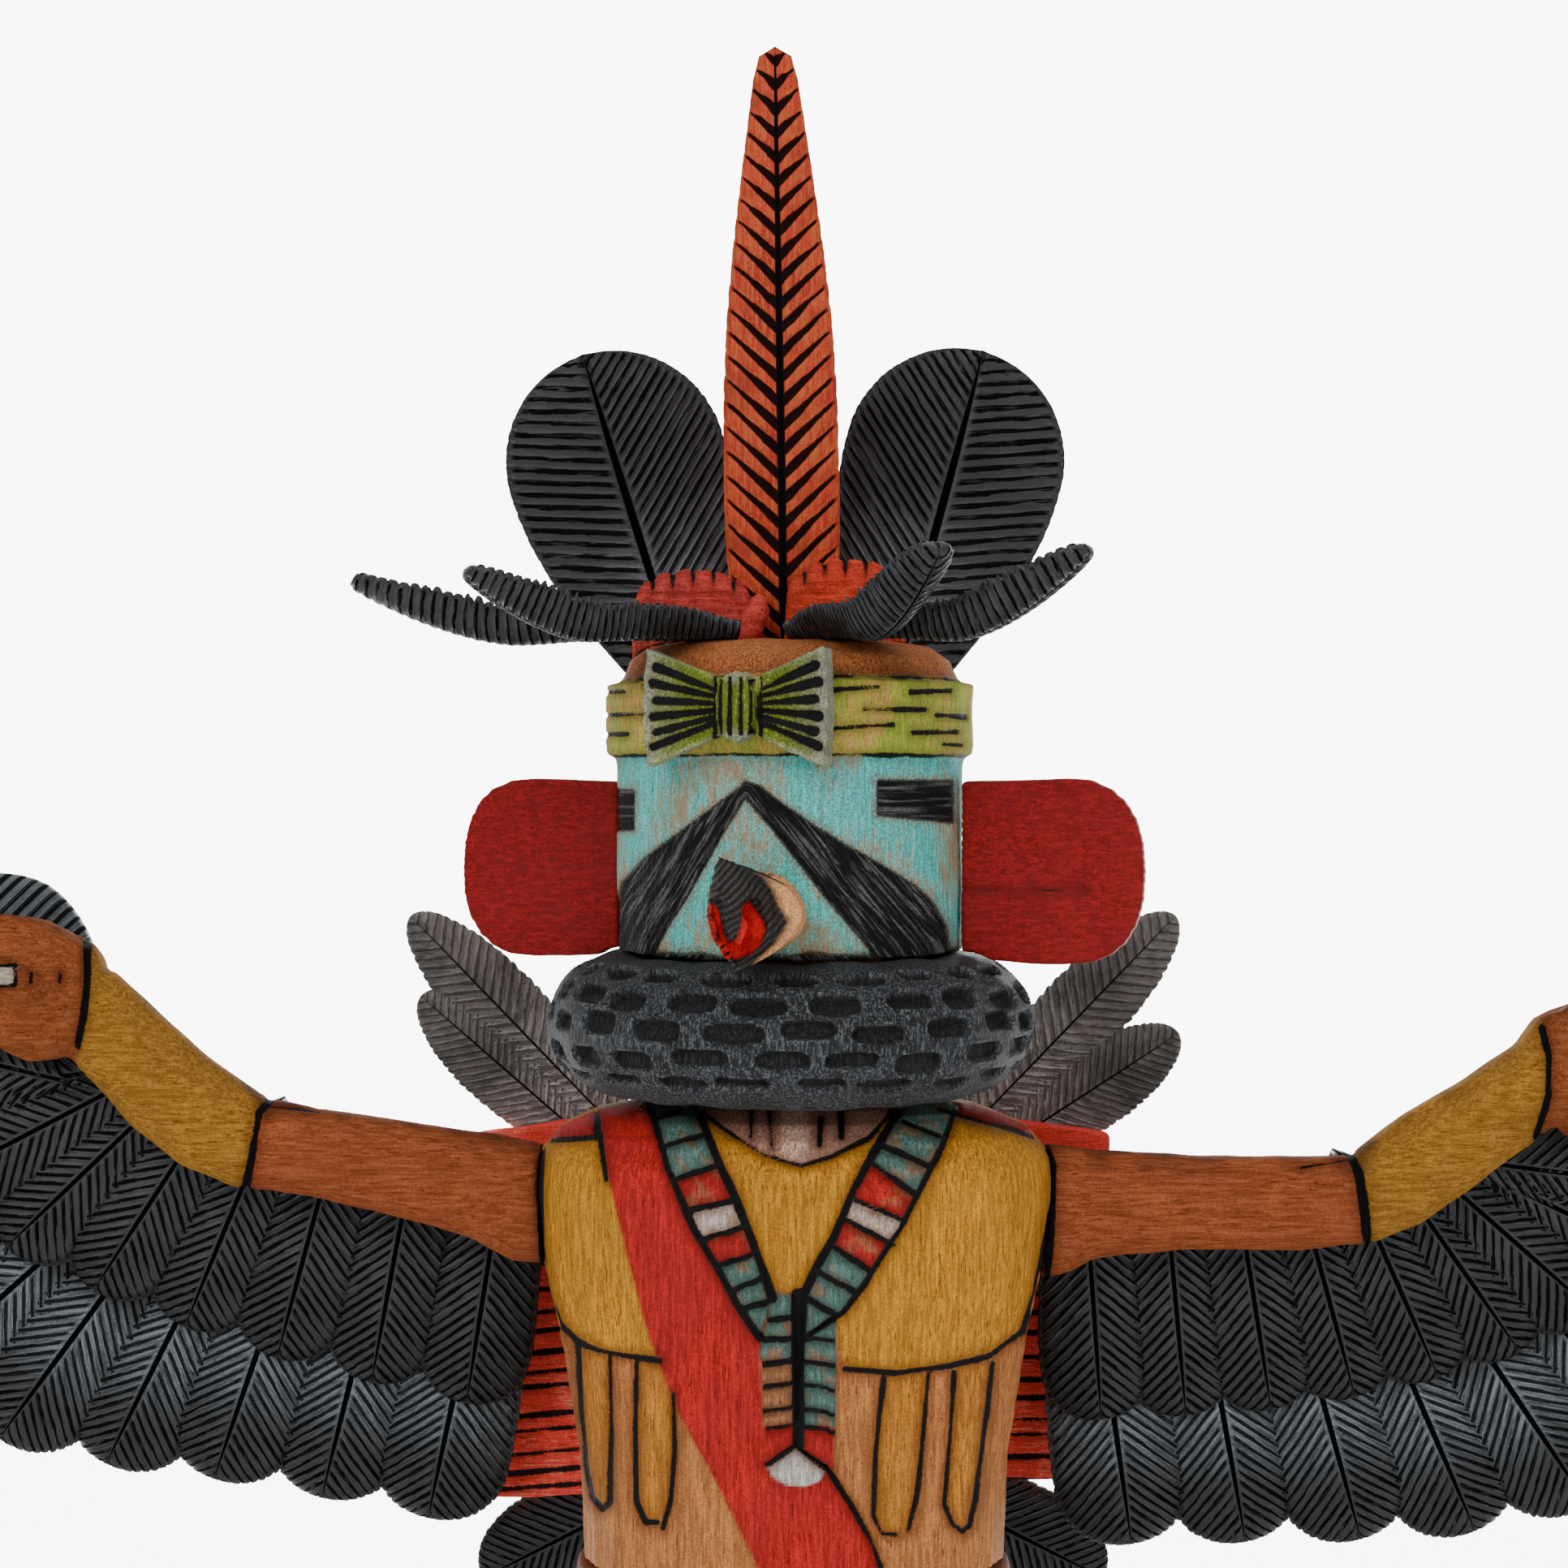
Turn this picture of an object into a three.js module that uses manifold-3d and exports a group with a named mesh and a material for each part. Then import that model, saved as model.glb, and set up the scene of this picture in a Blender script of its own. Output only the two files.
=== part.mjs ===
// Carved wooden kachina doll, a winged dancer, in millimetres.
// It faces -Y, stands on Z = 0 and the origin is the middle of the base's underside.
// Left and right are the viewer's, so left is -X.
import * as THREE from 'three';
import { mergeVertices } from 'three/addons/utils/BufferGeometryUtils.js';
import Module from 'manifold-3d';

const wasm = await Module();
wasm.setup();

// Gap left between pieces that are glued or rest on each other
const gap = 0.3;

// Base
const baseRadius = 54;
const baseHeight = 14;
const baseEdge = 1.6;

// Heights of the figure, stacked upwards from the base
const legHeight = 72;
const kiltHeight = 66;
const torsoHeight = 66.4;
const ruffHeight = 21.6;
const maskHeight = 28;
const bandHeight = 11.3;
const domeHeight = 6;

// Legs and moccasins
const legSpread = 12.5;
const legRadius = 8.6;
const ankleRadius = 7;
const footLength = 28;
const footWidth = 14;
const footHeight = 10;

// Kilt
const hemHalfWidth = 40;
const hemHalfDepth = 31;

// Torso
const waistHalfWidth = 31;
const waistHalfDepth = 21.5;
const shoulderHalfWidth = 38.3;
const shoulderHalfDepth = 22;
const torsoBack = 20.6;
const neckRadius = 13.2;
const reliefHeight = 0.9;
const sashWidth = 15;
const strandWidth = 4.6;
const pendantWidth = 9.4;
const pendantHeight = 26;

// Ruff
const ruffRadius = 35.4;
const ruffPits = 22;
const ruffPitRows = 5;
const ruffPitDepth = 1.1;

// Head, turned towards the viewer's left
const headTurn = THREE.MathUtils.degToRad(-14);
const headOffset = -0.6;
const maskRadius = 25.6;
const bandRadius = 27.2;
const domeRadius = 24.6;
const domeRound = 7;

// Ears
const leftEarReach = 25.3;
const rightEarReach = 27;
const earHeight = 27.2;
const earThickness = 3.6;
const earCorner = 11.5;

// Beak
const beakTurn = THREE.MathUtils.degToRad(-9);
const pegRadius = 5.4;
const pegLength = 8.5;
const beakWidth = 9.6;
const beakHeight = 16;
const beakDepth = 11;
const mouthDepth = 2.6;

// Headband bow
const bowHalfWidth = 13.2;
const bowEndHeight = 16.6;
const bowWaistHeight = 7.4;
const bowThickness = 3;
const knotWidth = 6.1;
const knotHeight = 10.3;

// Crest feather
const crestLength = 89;
const crestWidth = 17.4;
const crestThickness = 2.8;

// Round feathers behind the head
const roundLength = 52;
const roundWidth = 34.6;
const roundThickness = 2.6;

// Side feathers on top of the head
const leftSideReach = 60;
const rightSideReach = 52.5;
const shortLobeShare = 0.84;
const sideWidth = 11;
const sideThickness = 2.6;
const sideCurl = 7.4;
const sideCup = 3;

// Red tufts
const tuftWidth = 18.4;
const tuftHeight = 10;
const tuftThickness = 2.8;
const tuftScallops = 5;

// Arms
const armReach = 70;
const armHeight = 14.4;
const armDepth = 12.4;
const handWidth = 19;
const handHeight = 20.5;
const handDepth = 13;
const thumbRadius = 2.9;
const handSlope = THREE.MathUtils.degToRad(24);

// Wings, each seen from its shoulder
const wingReach = 110;
const wingThickness = 6.6;
const upperFeathersLeft = 9;
const upperFeathersRight = 10;
const lowerFeathers = 8;
const upperFeatherWidth = 17;
const lowerFeatherWidth = 21;
const featherStagger = 0.35;
const wingRidge = 1.5;
const wingBend = 6;

// Back panel, cape feathers and tail
const panelHalfWidth = 49.5;
const panelThickness = 4;
const panelHeight = 61;
const capeLength = 50;
const capeWidth = 12;
const capeThickness = 2.6;
const tailLength = 52;
const tailWidth = 17;
const tailThickness = 3.2;
const tailFeathers = 7;
const tailRootSpread = 9;
const tailSpread = THREE.MathUtils.degToRad(62);
const tailTilt = THREE.MathUtils.degToRad(8);

// Levels worked out from the heights
const footLevel = baseHeight + gap;
const hemLevel = footLevel + legHeight;
const waistLevel = hemLevel + kiltHeight;
const collarLevel = waistLevel + torsoHeight;
const ruffLevel = collarLevel + gap;
const maskLevel = ruffLevel + ruffHeight + gap;
const bandLevel = maskLevel + maskHeight;
const bandTop = bandLevel + bandHeight;
const domeTop = bandTop + domeHeight;
const featherLevel = domeTop + gap;

const point = (x, y, z) => new THREE.Vector3(x, y, z);
const mix = THREE.MathUtils.lerp;
const degrees = THREE.MathUtils.degToRad;

// Solid and geometry helpers

function geometryOf(points, index) {
  let volume = 0;
  for (let i = 0; i < index.length; i += 3) {
    const [a, b, c] = [points[index[i]], points[index[i + 1]], points[index[i + 2]]];
    volume += a.dot(b.clone().cross(c));
  }
  const order = volume < 0 ? index.slice().reverse() : index;
  const geometry = new THREE.BufferGeometry();
  const flat = points.flatMap((p) => [p.x, p.y, p.z]);
  geometry.setAttribute('position', new THREE.Float32BufferAttribute(flat, 3));
  geometry.setIndex(order);
  return geometry;
}

function solidOf(geometry) {
  const bare = geometry.clone();
  bare.deleteAttribute('normal');
  bare.deleteAttribute('uv');
  const merged = mergeVertices(bare, 1e-4);
  return new wasm.Manifold(new wasm.Mesh({
    numProp: 3,
    vertProperties: merged.attributes.position.array,
    triVerts: new Uint32Array(merged.index.array),
  }));
}

function geometryFrom(solid) {
  const mesh = solid.getMesh();
  const geometry = new THREE.BufferGeometry();
  geometry.setAttribute('position', new THREE.BufferAttribute(mesh.vertProperties, 3));
  geometry.setIndex(new THREE.BufferAttribute(mesh.triVerts, 1));
  return geometry;
}

function joined(solids) {
  return solids.reduce((whole, solid) => whole.add(solid));
}

// A closed body through a row of rings that all have as many points
function loft(rings) {
  const count = rings[0].length;
  const top = (rings.length - 1) * count;
  const index = [];
  for (let r = 0; r < rings.length - 1; r += 1) {
    for (let i = 0; i < count; i += 1) {
      const a = r * count + i;
      const b = r * count + (i + 1) % count;
      index.push(a, b, b + count, a, b + count, a + count);
    }
  }
  for (let i = 1; i < count - 1; i += 1) {
    index.push(0, i + 1, i);
    index.push(top, top + i, top + i + 1);
  }
  return geometryOf(rings.flat(), index);
}

// A flat outline in X and Z, given a thickness from y = front to the back
function plate(outline, front, thickness) {
  const shape = new THREE.Shape(outline.map(([x, z]) => new THREE.Vector2(x, z)));
  const geometry = new THREE.ExtrudeGeometry(shape, { depth: thickness, bevelEnabled: false });
  geometry.rotateX(Math.PI / 2);
  geometry.translate(0, front + thickness, 0);
  return geometry;
}

function ovalRing(z, halfWidth, halfDepth, power, sides, back = Infinity) {
  return Array.from({ length: sides }, (_, i) => {
    const angle = (i / sides) * 2 * Math.PI;
    const c = Math.cos(angle);
    const s = Math.sin(angle);
    const x = halfWidth * Math.sign(c) * Math.abs(c) ** (2 / power);
    const y = halfDepth * Math.sign(s) * Math.abs(s) ** (2 / power);
    return point(x, Math.min(y, back), z);
  });
}

// A feather blade. path, across and face give its middle line and directions at t from 0 at the
// root to 1 at the tip, halfWidth its outline, ridge and edge its thickness, and cup how far
// the edges rise out of the face. A blade with flatBack has its ridge on the face alone.
function blade(options) {
  const { path, across, face, halfWidth, ridge, edge, cup = 0, rows, halfColumns } = options;
  const front = [];
  const back = [];
  const columns = 2 * halfColumns + 1;
  for (let r = 0; r <= rows; r += 1) {
    const t = Math.sin((r / rows) * Math.PI / 2);
    for (let c = -halfColumns; c <= halfColumns; c += 1) {
      const v = c / halfColumns;
      const thickness = mix(ridge, edge, Math.abs(v));
      const backing = options.flatBack ? ridge / 2 : thickness / 2;
      const middle = path(t).addScaledVector(across(t), v * halfWidth(t))
        .addScaledVector(face(t), cup * v * v * halfWidth(t) / halfWidth(0.5));
      front.push(middle.clone().addScaledVector(face(t), thickness - backing));
      back.push(middle.clone().addScaledVector(face(t), -backing));
    }
  }
  const points = front.concat(back);
  const shift = front.length;
  const index = [];
  const quad = (a, b, c, d) => index.push(a, b, c, a, c, d);
  for (let r = 0; r < rows; r += 1) {
    for (let c = 0; c < columns - 1; c += 1) {
      const a = r * columns + c;
      quad(a, a + 1, a + 1 + columns, a + columns);
      quad(shift + a, shift + a + columns, shift + a + 1 + columns, shift + a + 1);
    }
    const left = r * columns;
    const right = left + columns - 1;
    quad(left, left + columns, shift + left + columns, shift + left);
    quad(right, shift + right, shift + right + columns, right + columns);
  }
  const last = rows * columns;
  for (let c = 0; c < columns - 1; c += 1) {
    quad(c, shift + c, shift + c + 1, c + 1);
    quad(last + c, last + c + 1, shift + last + c + 1, shift + last + c);
  }
  return geometryOf(points, index);
}

// Outline of a feather that is narrow at the root, widest at a share of its length, then rounds
// off to a blunt end
function leaf(halfWidth, rootShare, widest, power = 2, end = 0.1) {
  return (t) => {
    if (t < widest) {
      const rise = Math.sin((t / widest) * Math.PI / 2);
      return halfWidth * mix(rootShare, 1, rise);
    }
    const fall = (t - widest) / (1 - widest);
    return halfWidth * Math.max(end, (1 - fall ** power) ** (1 / power));
  };
}

// A flat blade that faces -Y, from a root in X and Z towards a lean from straight down
function flatBlade({ root, lean, length, outline, front, ridge, edge, rows }) {
  const along = point(Math.sin(lean), 0, -Math.cos(lean));
  const across = point(Math.cos(lean), 0, Math.sin(lean));
  const face = point(0, -1, 0);
  return blade({
    path: (t) => root.clone().addScaledVector(along, t * length).setY(front + ridge / 2),
    across: () => across,
    face: () => face,
    halfWidth: outline,
    ridge,
    edge,
    rows,
    halfColumns: 1,
    flatBack: true,
  });
}

// Places a solid made in the head's own directions on the turned head
function onHead(geometry) {
  return geometry.rotateZ(headTurn).translate(headOffset, 0, 0);
}

// Body

const torsoShape = [
  // share of the torso's height, share of the shoulder's width and depth
  [0, 0.81, 0.98],
  [0.22, 0.825, 0.965],
  [0.47, 0.895, 0.98],
  [0.64, 0.965, 1],
  [0.8, 1, 1],
  [0.88, 0.985, 0.975],
  [0.94, 0.9, 0.92],
  [0.975, 0.76, 0.83],
  [1, 0.56, 0.66],
];

function torsoSolid(grow) {
  const sides = 28;
  const rings = torsoShape.map(([share, wide, deep]) => ovalRing(
    waistLevel + share * torsoHeight + (share === 1 ? grow : 0),
    (share === 0 ? waistHalfWidth : wide * shoulderHalfWidth) + grow,
    (share === 0 ? waistHalfDepth : deep * shoulderHalfDepth) + grow,
    2.5,
    sides,
    torsoBack + grow,
  ));
  return solidOf(loft(rings));
}

function kiltSolid(grow) {
  const shares = [0, 0.35, 0.7, 0.93, 1];
  const rings = shares.map((share) => ovalRing(
    hemLevel + share * kiltHeight,
    mix(hemHalfWidth, waistHalfWidth + 1, share ** 1.2) + grow,
    mix(hemHalfDepth, waistHalfDepth + 0.8, share ** 1.2) + grow,
    2.3,
    28,
  ));
  return solidOf(loft(rings));
}

function legSolid(side) {
  const x = side * legSpread;
  const round = (z, radius) => ovalRing(z, radius, radius, 2, 12).map((p) => p.setX(p.x + x));
  const leg = loft([
    round(footLevel + 2, ankleRadius + 0.6),
    round(footLevel + footHeight + 6, ankleRadius),
    round(footLevel + legHeight * 0.45, legRadius),
    round(hemLevel + 3, legRadius + 0.6),
  ]);
  const heel = ankleRadius + 2;
  const foot = (z, shrink) => ovalRing(z, footWidth / 2 - shrink, footLength / 2 - shrink, 2.4, 14)
    .map((p) => p.add(point(x, heel - footLength / 2, 0)));
  const shoe = loft([
    foot(footLevel, 0.4),
    foot(footLevel + 2, 0),
    foot(footLevel + footHeight * 0.6, 0.6),
    foot(footLevel + footHeight, 3.6),
  ]);
  return solidOf(leg).add(solidOf(shoe));
}

// A low raised band on the torso's front, between two lines in X and Z
function frontRelief(outline, height) {
  const band = solidOf(plate(outline, -shoulderHalfDepth - 4, shoulderHalfDepth + 4));
  return torsoSolid(height).intersect(band);
}

// The sash hangs from the left shoulder to the right hip, wider as it drops
function sashOutline() {
  const top = collarLevel - 3;
  const bottom = waistLevel + 0.4;
  const steps = 5;
  const left = [];
  const right = [];
  for (let i = 0; i <= steps; i += 1) {
    const share = i / steps;
    const z = mix(top, bottom, share);
    const middle = mix(-0.62, 0.075, share ** 0.92) * shoulderHalfWidth;
    const half = mix(sashWidth * 0.3, sashWidth * 0.66, share);
    left.push([middle - half, z]);
    right.unshift([middle + half, z]);
  }
  return left.concat(right);
}

// A necklace strand from the ruff down to the middle, and the pendant that hangs from it
function strandOutline(side) {
  // share of the shoulder's half width, share of the torso's height below the collar
  const shares = [[0.4, 0.01], [0.33, 0.18], [0.03, 0.5], [0.03, 0.63]];
  const inner = shares.map(([out, drop]) => [
    side * out * shoulderHalfWidth,
    collarLevel - drop * torsoHeight,
  ]);
  const outer = [[0.03, 0.54], [0.3, 0.27], [0.46, 0.01]].map(([out, drop]) => [
    side * (out * shoulderHalfWidth + strandWidth),
    collarLevel - drop * torsoHeight,
  ]);
  return inner.concat(outer);
}

function pendantOutline() {
  const top = collarLevel - 0.48 * torsoHeight;
  const bottom = top - pendantHeight;
  const half = pendantWidth / 2;
  return [[-half, top], [-half, bottom + half], [-half / 2, bottom + 1], [0, bottom],
    [half / 2, bottom + 1], [half, bottom + half], [half, top]];
}

function body() {
  const neck = new THREE.CylinderGeometry(neckRadius, neckRadius, ruffHeight + 6, 24);
  neck.rotateX(Math.PI / 2).translate(0, 0, maskLevel - gap - (ruffHeight + 6) / 2);
  return geometryFrom(joined([
    torsoSolid(0),
    kiltSolid(0),
    legSolid(-1),
    legSolid(1),
    solidOf(neck),
    frontRelief(sashOutline(), reliefHeight),
    frontRelief(strandOutline(-1), reliefHeight + 0.4),
    frontRelief(strandOutline(1), reliefHeight + 0.4),
    frontRelief(pendantOutline(), reliefHeight + 0.8),
  ]));
}

function base() {
  const profile = [
    [0, 0],
    [baseRadius, 0],
    [baseRadius, baseHeight - baseEdge],
    [baseRadius - baseEdge, baseHeight],
    [0, baseHeight],
  ];
  const lathe = new THREE.LatheGeometry(profile.map(([r, z]) => new THREE.Vector2(r, z)), 36);
  return geometryFrom(solidOf(lathe.rotateX(Math.PI / 2)));
}

// Ruff: a fat ring whose outer face has staggered rows of pits

function ruffSolid(grow, pitDepth) {
  const tube = ruffHeight / 2;
  const middle = ruffRadius - tube;
  const columns = ruffPits * 2;
  const pitSteps = ruffPitRows * 2 + 2;
  const innerSteps = 3;
  const pitArc = degrees(210);
  const count = pitSteps + innerSteps;
  const points = [];
  for (let c = 0; c < columns; c += 1) {
    const around = (c / columns) * 2 * Math.PI;
    for (let r = 0; r < count; r += 1) {
      const inside = r > pitSteps;
      const share = inside ? (r - pitSteps) / innerSteps : r / pitSteps;
      const angle = inside
        ? pitArc / 2 + share * (2 * Math.PI - pitArc)
        : -pitArc / 2 + share * pitArc;
      const isPitRow = !inside && r % 2 === 1 && r > 0 && r < pitSteps;
      const isPit = isPitRow && (c + (r - 1) / 2) % 2 === 0;
      const radius = tube + grow - (isPit ? pitDepth : 0);
      const out = middle + radius * Math.cos(angle);
      points.push(point(
        out * Math.cos(around),
        out * Math.sin(around),
        ruffLevel + tube + radius * Math.sin(angle),
      ));
    }
  }
  const index = [];
  for (let c = 0; c < columns; c += 1) {
    for (let r = 0; r < count; r += 1) {
      const a = c * count + r;
      const b = c * count + (r + 1) % count;
      const d = ((c + 1) % columns) * count + r;
      const e = ((c + 1) % columns) * count + (r + 1) % count;
      index.push(a, b, e, a, e, d);
    }
  }
  return solidOf(geometryOf(points, index));
}

// Head

function headSolid(grow) {
  const steps = 3;
  const profile = [
    [0, maskLevel - grow],
    [maskRadius + grow, maskLevel - grow],
    [maskRadius + grow, bandLevel - grow],
    [bandRadius + grow, bandLevel + 0.4 - grow],
    [bandRadius + grow, bandTop - 0.4 + grow],
    [domeRadius + 0.6 + grow, bandTop + grow],
  ];
  for (let i = 0; i <= steps; i += 1) {
    const angle = (i / steps) * Math.PI / 2;
    profile.push([
      domeRadius - domeRound * (1 - Math.cos(angle)) + grow,
      bandTop + 0.8 + (domeHeight - 1.2) * Math.sin(angle) + grow,
    ]);
  }
  profile.push([0, domeTop + grow]);
  const lathe = new THREE.LatheGeometry(profile.map(([r, z]) => new THREE.Vector2(r, z)), 36);
  return solidOf(onHead(lathe.rotateX(Math.PI / 2)));
}

function ear(side) {
  const z = maskLevel - 2;
  const inner = maskRadius + gap;
  const outer = maskRadius + (side < 0 ? leftEarReach : rightEarReach);
  const shape = new THREE.Shape();
  shape.moveTo(inner, z + 0.6);
  shape.lineTo(outer - earCorner, z);
  shape.quadraticCurveTo(outer, z, outer, z + earHeight / 2);
  shape.quadraticCurveTo(outer, z + earHeight, outer - earCorner, z + earHeight);
  shape.lineTo(inner, z + earHeight - 0.6);
  const options = { depth: earThickness, bevelEnabled: false, curveSegments: 6 };
  const geometry = new THREE.ExtrudeGeometry(shape, options);
  geometry.rotateX(Math.PI / 2).translate(0, earThickness / 2, 0);
  if (side < 0) geometry.rotateY(Math.PI).translate(0, 0, 2 * z + earHeight);
  return geometryFrom(solidOf(onHead(geometry)).subtract(ruffSolid(gap, 0)));
}

function beak() {
  const level = maskLevel + 6.4;
  const peg = new THREE.CylinderGeometry(pegRadius + 0.9, pegRadius, pegLength + 6, 14);
  peg.translate(0, 3 - maskRadius - pegLength / 2, level);
  const bill = new THREE.SphereGeometry(1, 14, 9);
  bill.scale(beakWidth / 2, beakDepth / 2, beakHeight / 2);
  bill.rotateX(degrees(-8));
  bill.translate(0, -maskRadius - pegLength - beakDepth * 0.12, level + 0.2);
  const front = -maskRadius - pegLength - beakDepth;
  const hook = [[-1.5, level + 3], [-1.7, level - 1], [-0.6, level - 3.6], [0.6, level - 3.6],
    [1.7, level - 1], [1.5, level + 3]];
  const mouth = [[-3.6, level + 2.6], [-3.4, level - 2], [-1.8, level - 5], [0, level - 5.8],
    [1.8, level - 5], [3.4, level - 2], [3.6, level + 2.6]];
  const mouthCut = solidOf(plate(mouth, front, beakDepth * 0.42 + mouthDepth))
    .subtract(solidOf(plate(hook, front - 1, beakDepth + 6)));
  const whole = solidOf(peg).add(solidOf(bill)).subtract(mouthCut);
  const turned = geometryFrom(whole).rotateZ(beakTurn).translate(headOffset, 0, 0);
  return geometryFrom(solidOf(turned).subtract(headSolid(gap)).subtract(ruffSolid(gap, 0)));
}

function headbandBow() {
  const middle = bandLevel + bandHeight / 2 + 1.1;
  const wing = (side, reach) => [
    [side * knotWidth * 0.28, middle - bowWaistHeight / 2],
    [side * reach, middle - bowEndHeight / 2],
    [side * (reach + 0.5), middle],
    [side * reach, middle + bowEndHeight / 2],
    [side * knotWidth * 0.28, middle + bowWaistHeight / 2],
  ];
  const front = -bandRadius - gap - bowThickness;
  const knotSides = 10;
  const knot = Array.from({ length: knotSides }, (_, i) => {
    const angle = ((i + 0.5) / knotSides) * 2 * Math.PI;
    return [Math.cos(angle) * knotWidth / 2, middle + Math.sin(angle) * knotHeight / 2];
  });
  const whole = joined([
    solidOf(plate(wing(-1, bowHalfWidth), front + 0.6, bowThickness + 2)),
    solidOf(plate(wing(1, bowHalfWidth * 0.93), front + 0.6, bowThickness + 2)),
    solidOf(plate(knot, front - 0.8, bowThickness + 3)),
  ]);
  return geometryFrom(solidOf(onHead(geometryFrom(whole))).subtract(headSolid(gap)));
}

// Feathers on the head

function crestFeather() {
  const geometry = blade({
    path: (t) => point(-1.4 - 1.4 * t, 3, domeTop - 1 + (crestLength + 1) * t),
    across: () => point(1, 0, 0),
    face: () => point(0, -1, 0),
    halfWidth: leaf(crestWidth / 2, 0.42, 0.34, 1.45, 0.2),
    ridge: crestThickness,
    edge: 1.3,
    rows: 12,
    halfColumns: 1,
  });
  return geometryFrom(solidOf(geometry).subtract(headSolid(gap)));
}

function roundFeather(side) {
  const lean = side < 0 ? degrees(-17.2) : degrees(15);
  const root = point(side * domeRadius * 0.667 + headOffset, 0, bandTop + 0.6);
  const up = point(Math.sin(lean), 0.1, Math.cos(lean)).normalize();
  const face = point(0, -1, 0.1).normalize();
  const geometry = blade({
    path: (t) => root.clone().setY(domeRadius * 0.78).addScaledVector(up, t * roundLength),
    across: () => point(Math.cos(lean), 0, -Math.sin(lean)),
    face: () => face,
    halfWidth: leaf(roundWidth / 2, 0.36, 0.68),
    ridge: roundThickness,
    edge: 1.2,
    cup: 1.6,
    rows: 8,
    halfColumns: 2,
  });
  return geometryFrom(solidOf(geometry).subtract(headSolid(gap)));
}

// One lobe lies flat on the head, then curls up at its end
function sideLobe(angle, reach) {
  const along = point(Math.cos(angle), Math.sin(angle), 0);
  const across = point(-Math.sin(angle), Math.cos(angle), 0);
  const curlFrom = 0.62;
  const lift = (t) => {
    const droop = -0.9 * Math.sin(Math.min(1, t / curlFrom) * Math.PI / 2) ** 2;
    const curl = t < curlFrom ? 0 : sideCurl * ((t - curlFrom) / (1 - curlFrom)) ** 1.7;
    return droop + curl;
  };
  const level = domeTop + gap + sideThickness / 2 + 0.1;
  return blade({
    path: (t) => along.clone().multiplyScalar(t * reach).setZ(level + lift(t)),
    across: () => across,
    face: (t) => {
      const slope = (lift(Math.min(1, t + 0.01)) - lift(t - 0.01)) / (0.02 * reach);
      return point(-slope * along.x, -slope * along.y, 1).normalize();
    },
    halfWidth: leaf(sideWidth / 2, 0.42, 0.6, 2, 0.3),
    ridge: sideThickness,
    edge: 1.8,
    cup: sideCup,
    rows: 7,
    halfColumns: 1,
  });
}

function sideFeathers(side) {
  const turn = (forward) => (side < 0
    ? Math.PI + degrees(forward) + headTurn
    : -degrees(forward) + headTurn);
  const root = point(side * 2.2 + headOffset - 1, -domeRadius * 0.35, 0);
  const long = side < 0 ? leftSideReach : rightSideReach;
  const lobes = [[30, long], [52, long * shortLobeShare]].map(([forward, reach]) => {
    const lobe = sideLobe(turn(forward), reach);
    return solidOf(lobe.translate(root.x, root.y, 0));
  });
  return geometryFrom(joined(lobes));
}

function redTuft(side) {
  const inner = 2.2;
  const step = tuftWidth / tuftScallops;
  const outline = [
    [side * inner, domeTop - 1],
    [side * inner, featherLevel + tuftHeight * 0.3],
  ];
  for (let i = 0; i < tuftScallops; i += 1) {
    const share = (i + 0.5) / tuftScallops;
    const reach = inner + tuftWidth * share;
    const top = featherLevel + tuftHeight * (0.72 + 0.28 * Math.sin(share * Math.PI));
    outline.push([side * (reach - step * 0.33), top]);
    outline.push([side * (reach + step * 0.33), top]);
    outline.push([side * (reach + step * 0.5), top - tuftHeight * 0.16]);
  }
  outline.push([side * (inner + tuftWidth), featherLevel + tuftHeight * 0.35]);
  outline.push([side * (inner + tuftWidth * 0.7), domeTop - 1]);
  const scalloped = solidOf(plate(outline, -1.9, tuftThickness).translate(-3.2, 0, 0));
  return geometryFrom(scalloped.subtract(headSolid(gap)));
}

// Arms: sections from the shoulder to the wrist. Each is the share of the arm's reach, the level
// from the collar as a share of the reach too, and shares of the arm's height and depth.

const leftArm = [
  [-0.061, -0.221, 1.31, 1.25],
  [0.02, -0.22, 1.26, 1.18],
  [0.1, -0.187, 1.13, 1.08],
  [0.281, -0.148, 1, 1],
  [0.481, -0.11, 0.93, 0.97],
  [0.596, -0.091, 0.99, 1],
  [0.681, -0.05, 1.08, 1],
  [0.767, 0.019, 1.06, 0.96],
  [0.86, 0.113, 0.99, 0.93],
  [0.953, 0.211, 0.94, 0.92],
];

const rightArm = [
  [-0.061, -0.236, 1.45, 1.25],
  [0.01, -0.234, 1.4, 1.18],
  [0.08, -0.222, 1.15, 1.08],
  [0.281, -0.219, 1, 1],
  [0.51, -0.221, 0.99, 0.97],
  [0.646, -0.211, 0.94, 1],
  [0.72, -0.173, 1.02, 1],
  [0.8, -0.113, 1.04, 0.96],
  [0.91, -0.039, 0.95, 0.93],
  [1.031, 0.05, 0.91, 0.92],
];

// The arms and wings come forward a little towards the hands
function bendForward(reach) {
  return -wingBend * Math.max(0, (reach - shoulderHalfWidth) / wingReach) ** 2;
}

function bent(geometry) {
  const position = geometry.attributes.position;
  for (let i = 0; i < position.count; i += 1) {
    position.setY(i, position.getY(i) + bendForward(Math.abs(position.getX(i))));
  }
  return geometry;
}

function armSections(side) {
  const shares = side < 0 ? leftArm : rightArm;
  return shares.map(([reach, level, high, deep]) => [
    shoulderHalfWidth + reach * armReach,
    collarLevel + level * armReach,
    high * armHeight / 2,
    deep * armDepth / 2,
  ]);
}

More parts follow.
